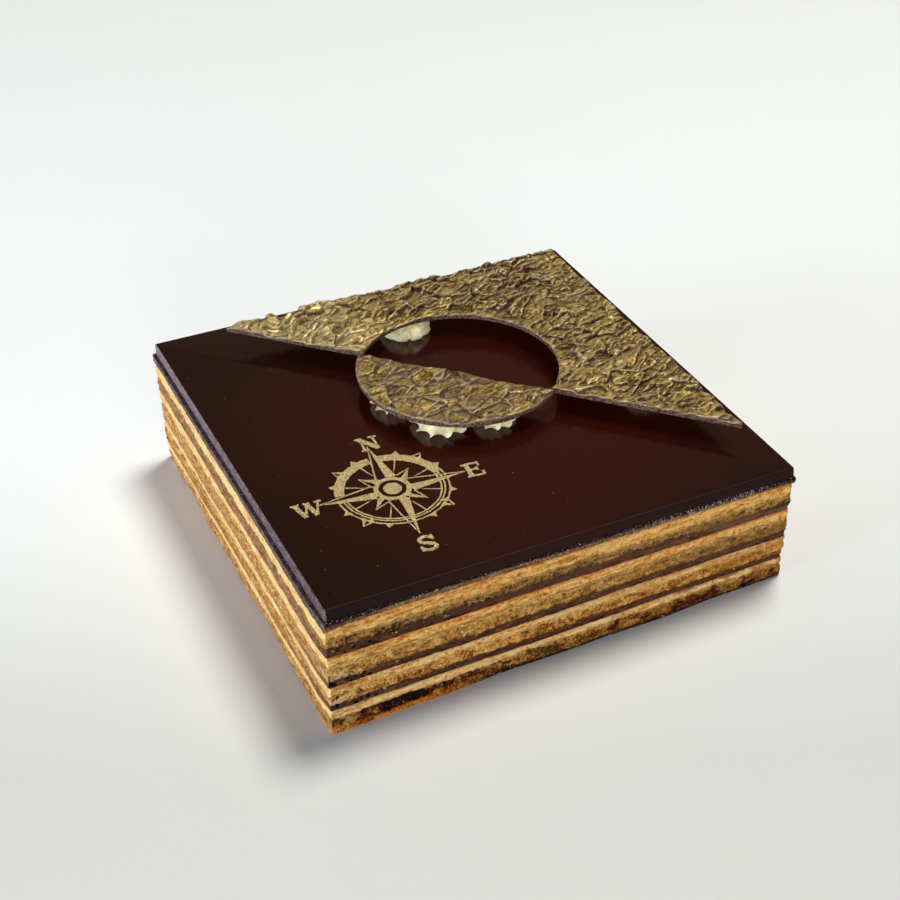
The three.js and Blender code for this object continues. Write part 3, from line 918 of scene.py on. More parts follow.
def facetNoise(u, v, seed):
    # random heights on a triangular lattice, with flat facets between
    skew = (u + v) * (math.sqrt(3) - 1) / 2
    a, b = u + skew, v + skew
    i, j = np.floor(a), np.floor(b)
    p, q = a - i, b - j
    near = 2 * draw(i, j, seed) - 1
    far = 2 * draw(i + 1, j + 1, seed) - 1
    right = 2 * draw(i + 1, j, seed) - 1
    left = 2 * draw(i, j + 1, seed) - 1
    lower = near + (right - near) * p + (far - right) * q
    upper = near + (left - near) * q + (far - left) * p
    return np.where(p > q, lower, upper)


def creases(x, y, cell, seed):
    # broad folds with crisp ridges
    bend, wide = [share * cell for share in crumpled["bend"]]
    bentX = x + bend * facetNoise(x / wide, y / wide, seed + 1)
    bentY = y + bend * facetNoise(x / wide, y / wide, seed + 2)
    return 1 - 2.4 * np.abs(facetNoise(bentX / cell, bentY / cell, seed))


def pulled(x, y):
    # coordinates along and across the way that the foil was pulled
    turn = math.radians(crumpled["pull"])
    return x * math.cos(turn) + y * math.sin(turn), y * math.cos(turn) - x * math.sin(turn)


def facets(x, y, look):
    # flat facets that the foil pressed in
    size, stretch, seed = look["size"], look["stretch"], look["seed"]
    bend, bendSize = crumpled["facetBend"]
    bendX, bendY = [bend * facetNoise(x / bendSize, y / bendSize, seed + i) for i in (7, 8)]
    along, across = pulled(x + bendX, y + bendY)
    u, v = along / (size * stretch), across / size
    column, row = np.floor(u), np.floor(v)
    around = []
    for stepU, stepV in itertools.product((-1, 0, 1), repeat=2):
        i, j = column + stepU, row + stepV
        chance = [draw(i, j, seed + k) for k in range(7)]
        offU, offV = u - i - chance[0], v - j - chance[1]
        slopeU = 2 * chance[2] - 1
        slopeV = 2 * (1 - crumpled["shingle"]) * (chance[3] - 0.5) - crumpled["shingle"]
        rise = look["tilt"] * size * (slopeU * offU + slopeV * offV) * 2
        rise += look["step"] * (2 * chance[4] - 1)
        around.append(np.stack([offU ** 2 + offV ** 2, offU, offV, rise, *chance[5:]]))
    around = np.stack(around)
    order = np.argsort(around[:, 0], axis=0)[:2, None, :]
    first, second = np.take_along_axis(around, order, axis=0)
    apart = np.hypot(first[1] - second[1], first[2] - second[2])
    border = size * (second[0] - first[0]) / (2 * apart + 1e-6)
    share = np.clip(border / crumpled["foldWidth"], 0, 1)
    height = first[3] * (0.5 + 0.5 * share) + second[3] * (0.5 - 0.5 * share)
    # -1 for a crease along the border, 1 for a ridge
    fold = (1 - share) * np.clip(crumpled["foldGain"] * ((first[4] + second[4]) % 1 - 0.5), -1, 1)
    return {
        "height": height + look["fold"] * fold, "fold": fold, "border": border,
        "chance": first[4], "turn": first[5], "across": first[2],
    }


def depthsAt(x, y):
    # how far a place lies inside the circle of the bite and past the slanting edge
    centre = crumpled["biteCentre"]
    return np.hypot(x - centre[0], y - centre[1]), (x + y - crumpled["cut"]) / math.sqrt(2)


def plaqueDepth(x, y):
    # distance in from the plaque's outline
    cornerX, cornerY = crumpled["corner"]
    fromCentre, fromCut = depthsAt(x, y)
    return np.minimum.reduce([cornerX - x, cornerY - y, fromCut, fromCentre - crumpled["biteRadius"]])


def segmentDepth(x, y):
    fromCut = (crumpled["segmentCut"] - x - y) / math.sqrt(2)
    return np.minimum(crumpled["segmentRadius"] - depthsAt(x, y)[0], fromCut)


def wrinkles(x, y):
    # fine creases, longest along the pull
    along, across = pulled(x, y)
    bend, bendSize = crumpled["wrinkleBend"]
    rise = 0
    for size, depth, seed in crumpled["wrinkles"]:
        bent = across + bend * facetNoise(x / bendSize, y / bendSize, seed + 1)
        folded = facetNoise(along / (crumpled["wrinkleStretch"] * size), bent / size, seed)
        rise = rise + depth * (0.5 - 1.6 * np.abs(folded))
    return rise


def crumple(x, y):
    # rise of the crumpled face; it is lower along the cut edges and all over the segment
    fromCentre, fromCut = depthsAt(x, y)
    inward = np.minimum(fromCentre - crumpled["biteRadius"], fromCut)
    inward = np.clip(inward / crumpled["calmReach"], 0, 1)
    onSegment = fromCut < 0
    right = smoothStep(x, *crumpled["calmRun"])
    calm = crumpled["calm"] + (1 - crumpled["calm"]) * inward
    calm = np.where(onSegment, crumpled["calmSegment"], calm * (1 + (crumpled["calmRight"] - 1) * right))
    rise = 0
    for size, depth, seed in crumpled["creases"]:
        rise = rise + depth * creases(x, y, size, seed) * calm
    # the segment lies flat along its straight cut
    atEdge, inside, reach = crumpled["flatCut"]
    flat = atEdge + (inside - atEdge) * smoothStep(segmentDepth(x, y), 0, reach)
    edge = crumpled["edgeShare"] + (1 - crumpled["edgeShare"]) * inward
    edge = np.where(fromCut < crumpled["gapMiddle"], flat, edge)
    parts = [facets(x, y, look)["height"] for look in crumpled["facets"]] + [wrinkles(x, y)]
    for part, (segment, wing, rightShare) in zip(parts, crumpled["liveliness"]):
        rise = rise + part * np.where(onSegment, segment, wing + (rightShare - wing) * right) * edge
    return np.maximum(rise, crumpled["thinnest"] - crumpled["thickness"])


def arcPoints(centre, radius, start, end, step):
    count = math.ceil(abs(end - start) * radius / step)
    angles = np.linspace(start, end, count + 1)
    return np.column_stack([centre[0] + radius * np.cos(angles), centre[1] + radius * np.sin(angles)])


def linePoints(start, end, step):
    count = math.ceil(math.dist(start, end) / step)
    return np.linspace(start, end, count + 1)


def cutAngles(radius, cut):
    # where a circle round the bite's centre meets a slanting edge
    behind = (sum(crumpled["biteCentre"]) - cut) / math.sqrt(2)
    spread = math.acos(-behind / radius)
    return math.pi / 4 + spread, math.pi / 4 - spread


def plaqueOutline():
    # counter-clockwise from the right-angled corner
    corner, cut, radius = crumpled["corner"], crumpled["cut"], crumpled["biteRadius"]
    step = crumpled["edgeStep"]
    bite = arcPoints(crumpled["biteCentre"], radius, *cutAngles(radius, cut), step)
    tips = [(cut - corner[1], corner[1]), (corner[0], cut - corner[0])]
    runs = [linePoints(corner, tips[0], step), linePoints(tips[0], bite[0], step), bite]
    runs += [linePoints(bite[-1], tips[1], step), linePoints(tips[1], corner, step)]
    return np.vstack([run[:-1] for run in runs])


def segmentOutline():
    radius, step = crumpled["segmentRadius"], crumpled["edgeStep"]
    left, right = cutAngles(radius, crumpled["segmentCut"])
    arc = arcPoints(crumpled["biteCentre"], radius, left, right + 2 * math.pi, step)
    return np.vstack([arc[:-1], linePoints(arc[-1], arc[0], step)[:-1]])


def fillOutline(outline, depth, spacing, seed):
    # triangles over an outline, with points scattered evenly inside it
    low, high = outline.min(0), outline.max(0)
    rowStep = spacing * math.sqrt(3) / 2
    columns = np.arange(math.ceil((high[0] - low[0]) / spacing) + 1)
    rows = np.arange(math.ceil((high[1] - low[1]) / rowStep) + 1)
    column, row = [grid.ravel() for grid in np.meshgrid(columns, rows)]
    strayX, strayY = [crumpled["scatter"] * (draw(column, row, seed + i) - 0.5) for i in (0, 1)]
    x = low[0] + spacing * (column + 0.5 * (row % 2) + strayX)
    y = low[1] + rowStep * (row + strayY)
    inside = depth(x, y) > crumpled["clearance"] * spacing
    flat = np.vstack([outline, np.column_stack([x[inside], y[inside]])])
    count = len(outline)
    edges = [(i, (i + 1) % count) for i in range(count)]
    found = geometry.delaunay_2d_cdt([Vector(point) for point in flat.tolist()], edges, [], 1, 1e-6)
    if len(found[0]) != len(flat):
        raise RuntimeError("an outline crosses itself")
    return flat, [tuple(face) for face in found[2]]


def neighbourRise(x, y, reach):
    # how much the crumpled face rises around a place; below 0 on a ridge
    total = -4 * crumple(x, y)
    for stepX, stepY in ((reach, 0), (-reach, 0), (0, reach), (0, -reach)):
        total = total + crumple(x + stepX, y + stepY)
    return total


def crumpledMesh(outline, depthInside, seed):
    # crumpled face, broken edge and level underside, closed
    flat, faces = fillOutline(outline, depthInside, crumpled["spacing"], seed)
    x, y = flat.T
    inward = np.clip(depthInside(x, y), 0, None)
    rounding = crumpled["roundDepth"] * (1 - smoothStep(inward, 0, crumpled["edgeRound"]))
    floor = topHeight(x, y) + crumpled["lift"]
    rise = np.maximum(crumple(x, y) - rounding, crumpled["thinnest"] - crumpled["thickness"])
    top = np.column_stack([x, y, floor + crumpled["thickness"] + rise])
    # painted light and shade: how the face curves, so that bumps are painted lighter and hollows darker
    curveLight = sum(gain * neighbourRise(x, y, reach) for reach, gain in crumpled["curveShadingGains"])
    # painted light: how much the face slopes towards the lamps
    stepX, stepY = crumpled["litFrom"]
    slopeTowardsLamps = crumple(x - stepX, y - stepY) - crumple(x + stepX, y + stepY)
    pressed = [facets(x, y, look) for look in crumpled["facets"]]
    folds = np.stack([share * part["fold"] for share, part in zip(crumpled["foldShare"], pressed)])
    onSegment = depthsAt(x, y)[1] < 0
    wing = np.where(onSegment, 0, 1 - smoothStep(x, *crumpled["calmRun"]))
    # painted shade: each facet is lighter at one end and darker at the other
    scallop = 0.5 * pressed[1]["across"] + 0.35 * wing * pressed[0]["across"]
    turn = math.pi * pressed[1]["turn"]
    # each value on the crumpled face, and the same on the rest
    values = {
        "wear": (np.clip(0.5 - curveLight, 0, 1), 0.5),
        "ridge": (np.clip(folds.max(0), 0, 1), 0),
        "crease": (np.clip(-folds.min(0), 0, 1), 0),
        "facet": (sum(k * part["chance"] for k, part in zip((0.4, 0.35, 0.25), pressed)), 0.5),
        "border": (np.minimum(pressed[0]["border"], pressed[1]["border"]), 1),
        "hatch": (x * np.cos(turn) + y * np.sin(turn), 0),
        "wing": (wing, 0),
        "scallop": (scallop + 0.4 * np.where(onSegment, 0.4, 1 - wing) * pressed[2]["across"], 0),
        "slant": (np.clip(0.5 + crumpled["litGain"] * slopeTowardsLamps, 0, 1), 0.5),
        "side": (np.zeros(len(top)), 1),
        "under": (np.zeros(len(top)), 0),
        "rim": (1 - smoothStep(inward, 0, crumpled["edgeRound"]), 0),
    }

    count = len(outline)
    around = np.arange(count)
    after = (around + 1) % count
    tangent = outline[after] - outline[around - 1]
    normal = np.column_stack([tangent[:, 1], -tangent[:, 0]])
    normal /= np.linalg.norm(normal, axis=1)[:, None]
    points = [top]
    upper, lower = 0, len(top)
    for row in range(1, crumpled["edgeRows"] + 1):
        share = row / crumpled["edgeRows"]
        ring = top[:count].copy()
        ring[:, 2] = top[:count, 2] * (1 - share) + floor[:count] * share
        bulge = crumpled["edgeBulge"] * (math.sin(math.pi * share) - 0.5)
        chips = enumerate(crumpled["chips"], seed + 5)
        chip = sum(depth * grain(ring, (wide, wide, tall), i) for i, (depth, wide, tall) in chips)
        ring[:, :2] += normal * (bulge + chip)[:, None]
        points.append(ring)
        faces += np.column_stack([upper + around, lower + around, lower + after, upper + after]).tolist()
        upper, lower = lower, lower + count
    under, underFaces = fillOutline(points[-1][:, :2], depthInside, crumpled["underSpacing"], seed + 3)
    inner = under[count:]
    dimple = 0.12 * grain(np.column_stack([inner, np.zeros(len(inner))]), (5, 5, 5), seed + 7)
    points.append(np.column_stack([inner, topHeight(*inner.T) + crumpled["lift"] + np.abs(dimple)]))
    faces += [tuple(upper + i for i in reversed(face)) for face in underFaces]
    points = np.vstack(points)
    rest = len(points) - len(top)
    values = {key: np.append(value, np.full(rest, other)) for key, (value, other) in values.items()}
    values["under"][-len(inner):] = 1
    return (points, faces), values


bronze = {
    "low": "35240f",
    "gold": "7e6324",
    "bright": "b39644",
    "curveLight": "d0b97a",
    "bare": "6a4b40",
    "crestHighlight": "ead8a8",
    # painted shade, for hollows, wrinkles and creases
    "hollow": "1d1008",
    "edge": ((0.4, "36221a"), (0.49, "604438"), (0.58, "94745c")),
    "rim": "c8ac88",
    # painted shade: the underside is painted near black
    "under": "120806",
}


def bronzeMaterial(name, look, seed):
    finish = Finish(name)
    wear, ridge, crease, facet = finish.attributes("wear", "ridge", "crease", "facet")
    side, rimShare, hatch, under = finish.attributes("side", "rim", "hatch", "under")
    border, wing, scallop, slant = finish.attributes("border", "wing", "scallop", "slant")
    finish.turn(crumpled["pull"])
    cloud = finish.noise(7.0, 4, 0.6, seed)
    fine = finish.noise(0.7, 5, 0.85, seed + 2, (1.8, 1, 1))
    streak = finish.lines(hatch, 0.7, 2, 0.7)
    height, drawn = finish.chips(1.7, seed, (1.8, 1, 1))
    coarse = finish.veins(3.2, seed + 20, (2.2, 1, 1))
    shallow = coarse.math("MINIMUM", coarse, 0.08)
    # painted light and shade: lighter on slopes towards the lamps and over the left wing, each facet
    # shaded from end to end, darker along the veins
    value = 0.26 * fine + 0.24 * facet + 0.22 * cloud + 0.16 * streak + 0.12 * drawn + 0.2 * scallop
    value = value + 0.34 * slant + 0.6 * shallow + 0.3 * wing - 0.155
    stops = [(0.4, look["low"]), (0.5, look["gold"]), (0.59, look["bright"]), (0.68, look["curveLight"])]
    finish.colour = finish.ramp(value, stops)
    bare = finish.mask(cloud + 0.3 * fine - 0.1 * facet, 0.9 - look["bareShare"], 0.98 - look["bareShare"])
    finish.paint(bare * 0.7, look["bare"])
    # painted highlights on the bumps and painted shade in the hollows
    finish.cover(wear, 0.6, 0.95, 0.65, look["curveLight"])
    finish.cover(wear, 0.4, 0.08, 0.7, look["hollow"])
    # dark lines of painted shade in the wrinkles and creases; the colour is rubbed off beside the folds,
    # and some crests get a painted highlight
    veinShade = finish.mask(coarse, 0.02, 0.004) * finish.mask(fine, 0.44, 0.54) * (1 - 0.5 * wing)
    finish.paint(veinShade * 0.5, look["hollow"])
    finish.cover(border - 0.9 * fine, 0.5, -0.3, 0.35, look["bare"])
    finish.cover(crease, 0.25, 0.8, 0.8, look["hollow"])
    finish.cover(ridge * (0.2 + 1.6 * fine), 0.3, 0.8, 0.4 + 0.45 * wing, look["crestHighlight"])
    finish.paint(side, finish.ramp(finish.noise(0.8, 4, 0.8, seed + 4), look["edge"]))
    # painted shade over the whole underside
    finish.paint(under, look["under"])
    finish.paint(rimShare * finish.mask(fine, 0.4, 0.55) * 0.8, look["rim"])
    metal = {"Metallic": (1 - side) * (1 - bare) * 0.5}
    relief = 0.5 * streak + 0.35 * finish.noise(0.45, 4, 0.8, seed + 6, (2.2, 1, 1)) + 2.2 * height
    return finish.shade(0.32 + 0.2 * fine, 0.12, relief + 3 * shallow, 0.17, metal)


for name, outline, depth, seed, bareShare in (
    ("plaque", plaqueOutline, plaqueDepth, 71, 0.18),
    ("plaque_segment", segmentOutline, segmentDepth, 83, 0.33),
):
    shape, values = crumpledMesh(outline(), depth, seed)
    material = bronzeMaterial(name + "_bronze", {**bronze, "bareShare": bareShare}, seed * 0.7)
    makePiece("crumpled_" + name, shape, material, [name], values, 70)
print("crumpled chocolate built")


# Cream rosettes

# name, x, y, radius, flutes, turn, and the shallowest groove of one with broad lobes
rosettes = [
    ("rosette_1", 3.4, 49.5, 9.2, 9, 0.45, 5),
    ("rosette_2", 56.5, 51.5, 8.8, 9, 0.1, None),
    ("rosette_3", 60.0, -21.5, 8.6, 9, 0.5, None),
    ("rosette_4", -10.2, -8.8, 9.7, 10, 0.2, None),
    ("rosette_5", 6.4, -14.4, 7.2, 10, 0.05, None),
    ("rosette_6", -19.3, 8.3, 7.6, 10, 0.3, None),
]
piping = {
    "height": 5.8,
    "fluteDepth": 0.24,
    "twist": 0.5,
    "lobeTwist": 0.05,
    "pointsPerFlute": 12,
    "rows": 14,
    "profile": ((0, 0.06, 0.22, 0.6, 0.92, 1), (0.86, 0.93, 1.0, 0.9, 0.7, 0.6)),
    "uneven": 0.12,
    "cream": [(0.34, "dcc67c"), (0.5, "f8eab4"), (0.66, "fff9d8")],
    "depth": (0.132, 0.119, 0.067, 1),  # painted glow, standing in for light that passes through it
}


def rosetteMesh(middleX, middleY, radius, flutes, turn, faint):
    perFlute = piping["pointsPerFlute"]
    count = flutes * perFlute
    around = np.arange(count)
    crest = np.sin(np.pi * (around % perFlute) / perFlute)
    if faint is None:
        hollow = np.sqrt(crest) - 0.25 * (1 - crest) ** 3 * draw(around // perFlute, 1, flutes)
        twist = piping["twist"]
    else:
        # broad lobes with narrow grooves between
        groove = (around + perFlute // 2) // perFlute % flutes
        hollow = (1 - crest) ** 2.5 * np.where(groove == faint, 0.25, 1)
        twist = piping["lobeTwist"]
    tall = piping["height"] - 2 * cake["seam"]
    rings = []
    for share in np.linspace(0, 1, piping["rows"]):
        reach = radius * np.interp(share, *piping["profile"]) * (1 - piping["fluteDepth"] * hollow)
        angle = 2 * np.pi * (around / count + turn / flutes) + twist * share
        x, y = middleX + reach * np.cos(angle), middleY + reach * np.sin(angle)
        ring = np.column_stack([x, y, topHeight(x, y) + cake["seam"] + share * tall])
        off = [grain(ring, (2, 2, 1.5), seed) for seed in (90, 91)]
        ring[:, :2] += piping["uneven"] * np.stack(off, axis=1)
        rings.append(ring)
    foot = topHeight(middleX, middleY) + cake["seam"]
    return closedBand(rings, *[[middleX, middleY, z] for z in (foot, foot + tall)])


def creamMaterial():
    finish = Finish("piped_cream")
    finish.colour = finish.ramp(finish.noise(2.4, 3, 0.6, 4), piping["cream"])
    # painted glow: the cream gives off a little light of its own
    more = {"Emission Color": piping["depth"], "Emission Strength": 1.0}
    return finish.shade(0.42, 0.3, finish.noise(0.6, 3, 0.6, 6), 0.08, more)


pipedCream = creamMaterial()
for name, *shape in rosettes:
    makePiece("piped_" + name, rosetteMesh(*shape), pipedCream, [name], None, 75)
print("rosettes built")


# Gold compass rose dusted on the glaze

compass = {
    "centre": (-38.4, -34.7),
    "turn": math.radians(-3.8),
    "ring": (14.9, 18.0),
    "hub": (2.9, 4.4, 5.9),  # radius of the disc in the middle, and of the ring round it
    "line": 0.55,
    "openLines": ((14.9, 15.45), (15.95, 16.5), (17.45, 18.0)),
    "longWaist": (math.hypot(6.2, 3.3), math.degrees(math.atan2(3.3, 6.2))),
    "bandStep": 4,  # degrees
    "rough": (0.5, 0.14),  # spacing and size of the uneven edges
    "lift": 0.006,
    "thickness": 0.04,
    "letterHeight": 7.1,
    "letters": {"N": (-35.7, -9.4), "E": (-11.8, -36.5), "S": (-40.0, -63.9), "W": (-65.6, -33.8)},
}
waist, waistTurn = compass["longWaist"]
# corners to fill as (radius, bearing), and lines between two ends as (radius, bearing, width),
# with widths as shares of the line's
longPoint = [
    [(4.4, 0), (24.0, 0), (waist, waistTurn)],
    [(24.0, 0, 0.7), (waist, -waistTurn, 1)],
    [(waist, -waistTurn, 1), (4.4, -25, 1)],
]
shortPoint = [
    [(4.4, 0), (11.8, 0), (6.8, 16)],
    [(11.8, 0, 0.6), (6.8, -16, 0.8)],
    [(15.4, 0), (17.4, -7), (18.4, -2.5)],
    [(17.4, -7, 1), (20.7, 0, 0.7)],
    [(17.2, 7.5), (17.2, 1.5), (20.7, 0)],
]
tooth = [
    [(17.7, -4.6), (19.8, 0), (17.7, 4.6)],
    [(15.1, 0, 1), (9.0, 0, 0.4)],
]
# what stands at which bearings, and -1 where it is mirrored
rosePoints = [
    (longPoint, (0, 90), 1),
    (longPoint, (180, 270), -1),
    (shortPoint, (45, 135, 225, 315), 1),
    (tooth, [22.5 + 45 * i for i in range(8)], 1),
]
thick, thin = 0.21, 0.11
letterS = [
    (0.3, 0.27), (0.16, 0.42), (-0.04, 0.46), (-0.24, 0.36), (-0.28, 0.2), (-0.16, 0.07), (0.08, -0.03),
    (0.26, -0.14), (0.3, -0.3), (0.16, -0.43), (-0.06, -0.46), (-0.24, -0.38), (-0.32, -0.24),
]
# strokes of plain serif capitals in a box one unit high, as start, end and width
letterStrokes = {
    "N": [
        ((-0.3, -0.5), (-0.3, 0.5), thin), ((0.32, -0.5), (0.32, 0.5), thin),
        ((-0.36, 0.48), (0.34, -0.48), 1.2 * thick), ((-0.55, 0.46), (-0.2, 0.46), thin),
        ((-0.48, -0.46), (-0.12, -0.46), thin), ((0.12, 0.46), (0.5, 0.46), thin),
    ],
    "E": [
        ((-0.2, -0.5), (-0.2, 0.5), thick), ((-0.42, 0.45), (0.36, 0.45), thin),
        ((-0.42, -0.45), (0.4, -0.45), thin), ((-0.2, 0.02), (0.2, 0.02), thin),
        ((0.33, 0.5), (0.33, 0.22), thin), ((0.37, -0.5), (0.39, -0.2), thin),
        ((0.2, 0.14), (0.2, -0.1), thin),
    ],
    "S": [
        # thickest in the middle
        *[(*ends, thick - 0.07 * abs(i - 6) / 6.5) for i, ends in enumerate(zip(letterS, letterS[1:]))],
        ((0.3, 0.48), (0.31, 0.18), thin), ((-0.33, -0.48), (-0.33, -0.14), thin),
    ],
    "W": [
        ((-0.52, 0.45), (-0.24, -0.48), thick), ((-0.24, -0.45), (0.0, 0.4), thin),
        ((0.0, 0.42), (0.26, -0.48), thick), ((0.26, -0.45), (0.52, 0.45), thin),
        ((-0.7, 0.46), (-0.32, 0.46), thin), ((0.36, 0.46), (0.68, 0.46), thin),
        ((-0.14, 0.46), (0.16, 0.46), thin),
    ],
}


def polar(radius, bearing):
    # a point of the rose; bearing 0 is north and 90 east
    angle = math.radians(90 - bearing) + compass["turn"]
    x, y = compass["centre"]
    return x + radius * math.cos(angle), y + radius * math.sin(angle)


def band(inner, outer, start, end):
    # part of a ring between two bearings
    count = max(2, round(abs(end - start) / compass["bandStep"]))
    bearings = np.linspace(start, end, count + 1)
    pairs = zip(bearings[:-1], bearings[1:])
    return [[polar(outer, a), polar(outer, b), polar(inner, b), polar(inner, a)] for a, b in pairs]


def stroke(start, end, startWidth, endWidth):
    # a straight tapering line as a four-cornered shape
    dx, dy = end[0] - start[0], end[1] - start[1]
    length = math.hypot(dx, dy)
    nx, ny = -dy / length / 2, dx / length / 2
    corners = [(start, startWidth, 1), (start, startWidth, -1), (end, endWidth, -1), (end, endWidth, 1)]
    return [(p[0] + nx * w * s, p[1] + ny * w * s) for p, w, s in corners]


def roseShapes():
    inner, outer = compass["ring"]
    # filled half of the ring, open where the dark halves of two long points cross it
    shapes = band(inner, outer, -95, -90) + band(inner, outer, -83, -7) + band(inner, outer, 0, 78)
    for low, high in compass["openLines"]:
        shapes += band(low, high, 78, 265)
    for parts, bearings, flip in rosePoints:
        for bearing in bearings:
            for part in parts:
                corners = [polar(radius, bearing + flip * turn) for radius, turn, *_ in part]
                if len(part) == 2:
                    corners = stroke(*corners, *[compass["line"] * end[2] for end in part])
                shapes.append(corners)
    disc, low, high = compass["hub"]
    return shapes + band(0.0, disc, 0, 360) + band(low, high, 0, 360)


def placeLetter(letter, centre):
    size = compass["letterHeight"]
    turn = np.array(Matrix.Rotation(compass["turn"], 2))
    return [
        stroke(*[centre + size * turn @ end for end in ends], width * size, width * size)
        for *ends, width in letterStrokes[letter]
    ]


def roughened(shape, step, amount, seed):
    # an outline with its sides divided and a little uneven
    sides = zip(shape, [*shape[1:], shape[0]])
    points = np.vstack([linePoints(start, end, step)[:-1] for start, end in sides])
    place = np.column_stack([points, np.zeros(len(points))])
    shift = np.stack([grain(place, (0.5, 0.5, 1), seed), grain(place, (0.5, 0.5, 1), seed + 1)], axis=1)
    return points + amount * shift


def compassMesh():
    shapes = roseShapes()
    for letter, centre in compass["letters"].items():
        shapes += placeLetter(letter, centre)
    points, faces = [], []
    for level, shape in enumerate(shapes):
        outline = roughened(shape, *compass["rough"], 100)
        x, y = outline.T
        area = np.sum(x * np.roll(y, -1) - np.roll(x, -1) * y)
        outline = outline if area > 0 else outline[::-1]
        count, start = len(outline), len(points)
        low = topHeight(*outline.T) + compass["lift"]
        high = low + compass["thickness"] + 0.0003 * level  # no two tops share a plane
        points += [*np.column_stack([outline, low]), *np.column_stack([outline, high])]
        faces.append(list(range(start + count, start + 2 * count)))
        faces.append(list(range(start + count - 1, start - 1, -1)))
        for i in range(start, start + count):
            after = start + (i + 1 - start) % count
            faces.append((i, after, count + after, count + i))
    return points, faces


def goldDustMaterial():
    # coarse dust, with gaps where the dark glaze shows
    finish = Finish("gold_dust")
    speck = finish.noise(0.4, 4, 0.8, 3)
    finish.colour = finish.ramp(speck, [(0.38, "5c4620"), (0.48, "a68a4e"), (0.58, "ecd69c")])
    gap = 0.6 * speck + 0.4 * finish.noise(1.6, 3, 0.7, 7)
    finish.cover(gap, 0.44, 0.39, 0.8, "1c0b06")
    return finish.shade(0.5, 0.5, finish.noise(0.3, 3, 0.7, 5), 0.12, {"Metallic": 0.35})


makePiece("compass_rose", compassMesh(), goldDustMaterial(), sharp=30)
print("compass rose built")


# Crumbs on the cut sides, and dust on the glaze

crumbs = {
    "perSeam": 50,
    "nearShare": 0.35,  # of them by the front left corner
    "nearReach": 0.3,  # share of a side that those spread over
    "frontShare": 0.7,  # of those, the rest are at the left
    "sunk": 0.15,  # how deep they sit in the side
    "spread": (1.6, 0.35),  # height of the band that they lie in, and the share of it below the seam
    "ledge": 0.05,  # how far the foot specks stand off the glaze and the ledge
    "footSpecks": 150,
    "dustSpecks": 150,
    "dustReach": 76,
}


def blobTemplate():
    shape = bmesh.new()
    bmesh.ops.create_icosphere(shape, subdivisions=2, radius=1)
    points = np.array([vertex.co[:] for vertex in shape.verts])
    faces = [[vertex.index for vertex in face.verts] for face in shape.faces]
    shape.free()
    return points, faces


def blobs(centres, sizes, flatness, seed):
    # one uneven blob at each centre, joined in one mesh
    template, templateFaces = blobTemplate()
    points, faces = [], []
    for i, (centre, size) in enumerate(zip(centres, sizes)):
        lumps = 1 + 0.4 * grain(template * 1.3 + i * 3.7, (1, 1, 1), seed)
        turn = Matrix.Rotation(6.3 * draw(i, 5, seed), 3, "Z") @ Matrix.Rotation(draw(i, 6, seed), 3, "X")
        shape = (template * lumps[:, None] * (1, 0.75, 0.8)) @ np.array(turn)
        shape[:, 2] *= flatness
        faces += [tuple(len(points) * len(template) + k for k in face) for face in templateFaces]
        points.append(centre + shape * size)
    return np.vstack(points), faces


def alongSides(side, along, reach):
    # stations at shares of a square's sides
    outward = outwards[side.astype(int)]
    tangent = np.column_stack([-outward[:, 1], outward[:, 0]])
    spot = reach * outward + (2 * along - 1)[:, None] * reach * tangent
    return np.column_stack([spot, outward, side, along])


def crumbPlaces():
    # crumbs cling where a sponge meets the ganache under it
    places = []
    i = np.arange(crumbs["perSeam"])
    beside = i < crumbs["nearShare"] * crumbs["perSeam"]
    amount = softSides["sponge"]["wander"]
    for index, layer in enumerate(layers[:-1]):
        if not layer["name"].startswith("sponge"):
            continue
        side, along = np.floor(4 * draw(i, index, 201)), draw(i, index, 202)
        side = np.where(beside, np.where(draw(i, index, 203) < crumbs["frontShare"], 0, 3), side)
        close = crumbs["nearReach"] * along
        along = np.where(beside, np.where(side == 0, close, 1 - close), along)
        reach = cake["halfWidth"] - cake["layerInset"] - layer["inset"] - crumbs["sunk"]
        leftReach = cake["halfWidth"] - cake["leftInset"] - amount
        stations = widened(alongSides(side, along, reach), reach, leftReach)
        spot = stations[:, :2] + pushOf(stations, 10 * (index + 1), amount)
        height, below = crumbs["spread"]
        z = seamHeight(*spot.T, index) + height * (draw(i, index, 204) - below)
        places.append(np.column_stack([spot, z]))
    return np.vstack(places)


def footPlaces():
    # specks on the ledge of the chocolate plate, against the foot of the glaze
    i = np.arange(crumbs["footSpecks"])
    reach = cake["topReach"] + glaze["lean"] + crumbs["ledge"]
    spot = alongSides(np.floor(4 * draw(i, 1, 211)), draw(i, 2, 211), reach)[:, :2]
    return np.column_stack([spot, seamHeight(*spot.T, 0) + crumbs["ledge"]])


def dustPlaces():
    i = np.arange(crumbs["dustSpecks"])
    spot = crumbs["dustReach"] * (2 * np.column_stack([draw(i, 1, 221), draw(i, 2, 221)]) - 1)
    spot = spot[spot.sum(1) < 2]  # none lie under the plaque
    return np.column_stack([spot, topHeight(*spot.T) + 0.01])


def crumbMaterial(name, stops):
    finish = Finish(name)
    tint, = finish.attributes("tint")
    finish.colour = finish.ramp(0.75 * tint + 0.5 * finish.noise(0.5, 3, 0.7, 3) - 0.12, stops)
    return finish.shade(0.7, 0.3, finish.noise(0.25, 3, 0.7, 5), 0.12)


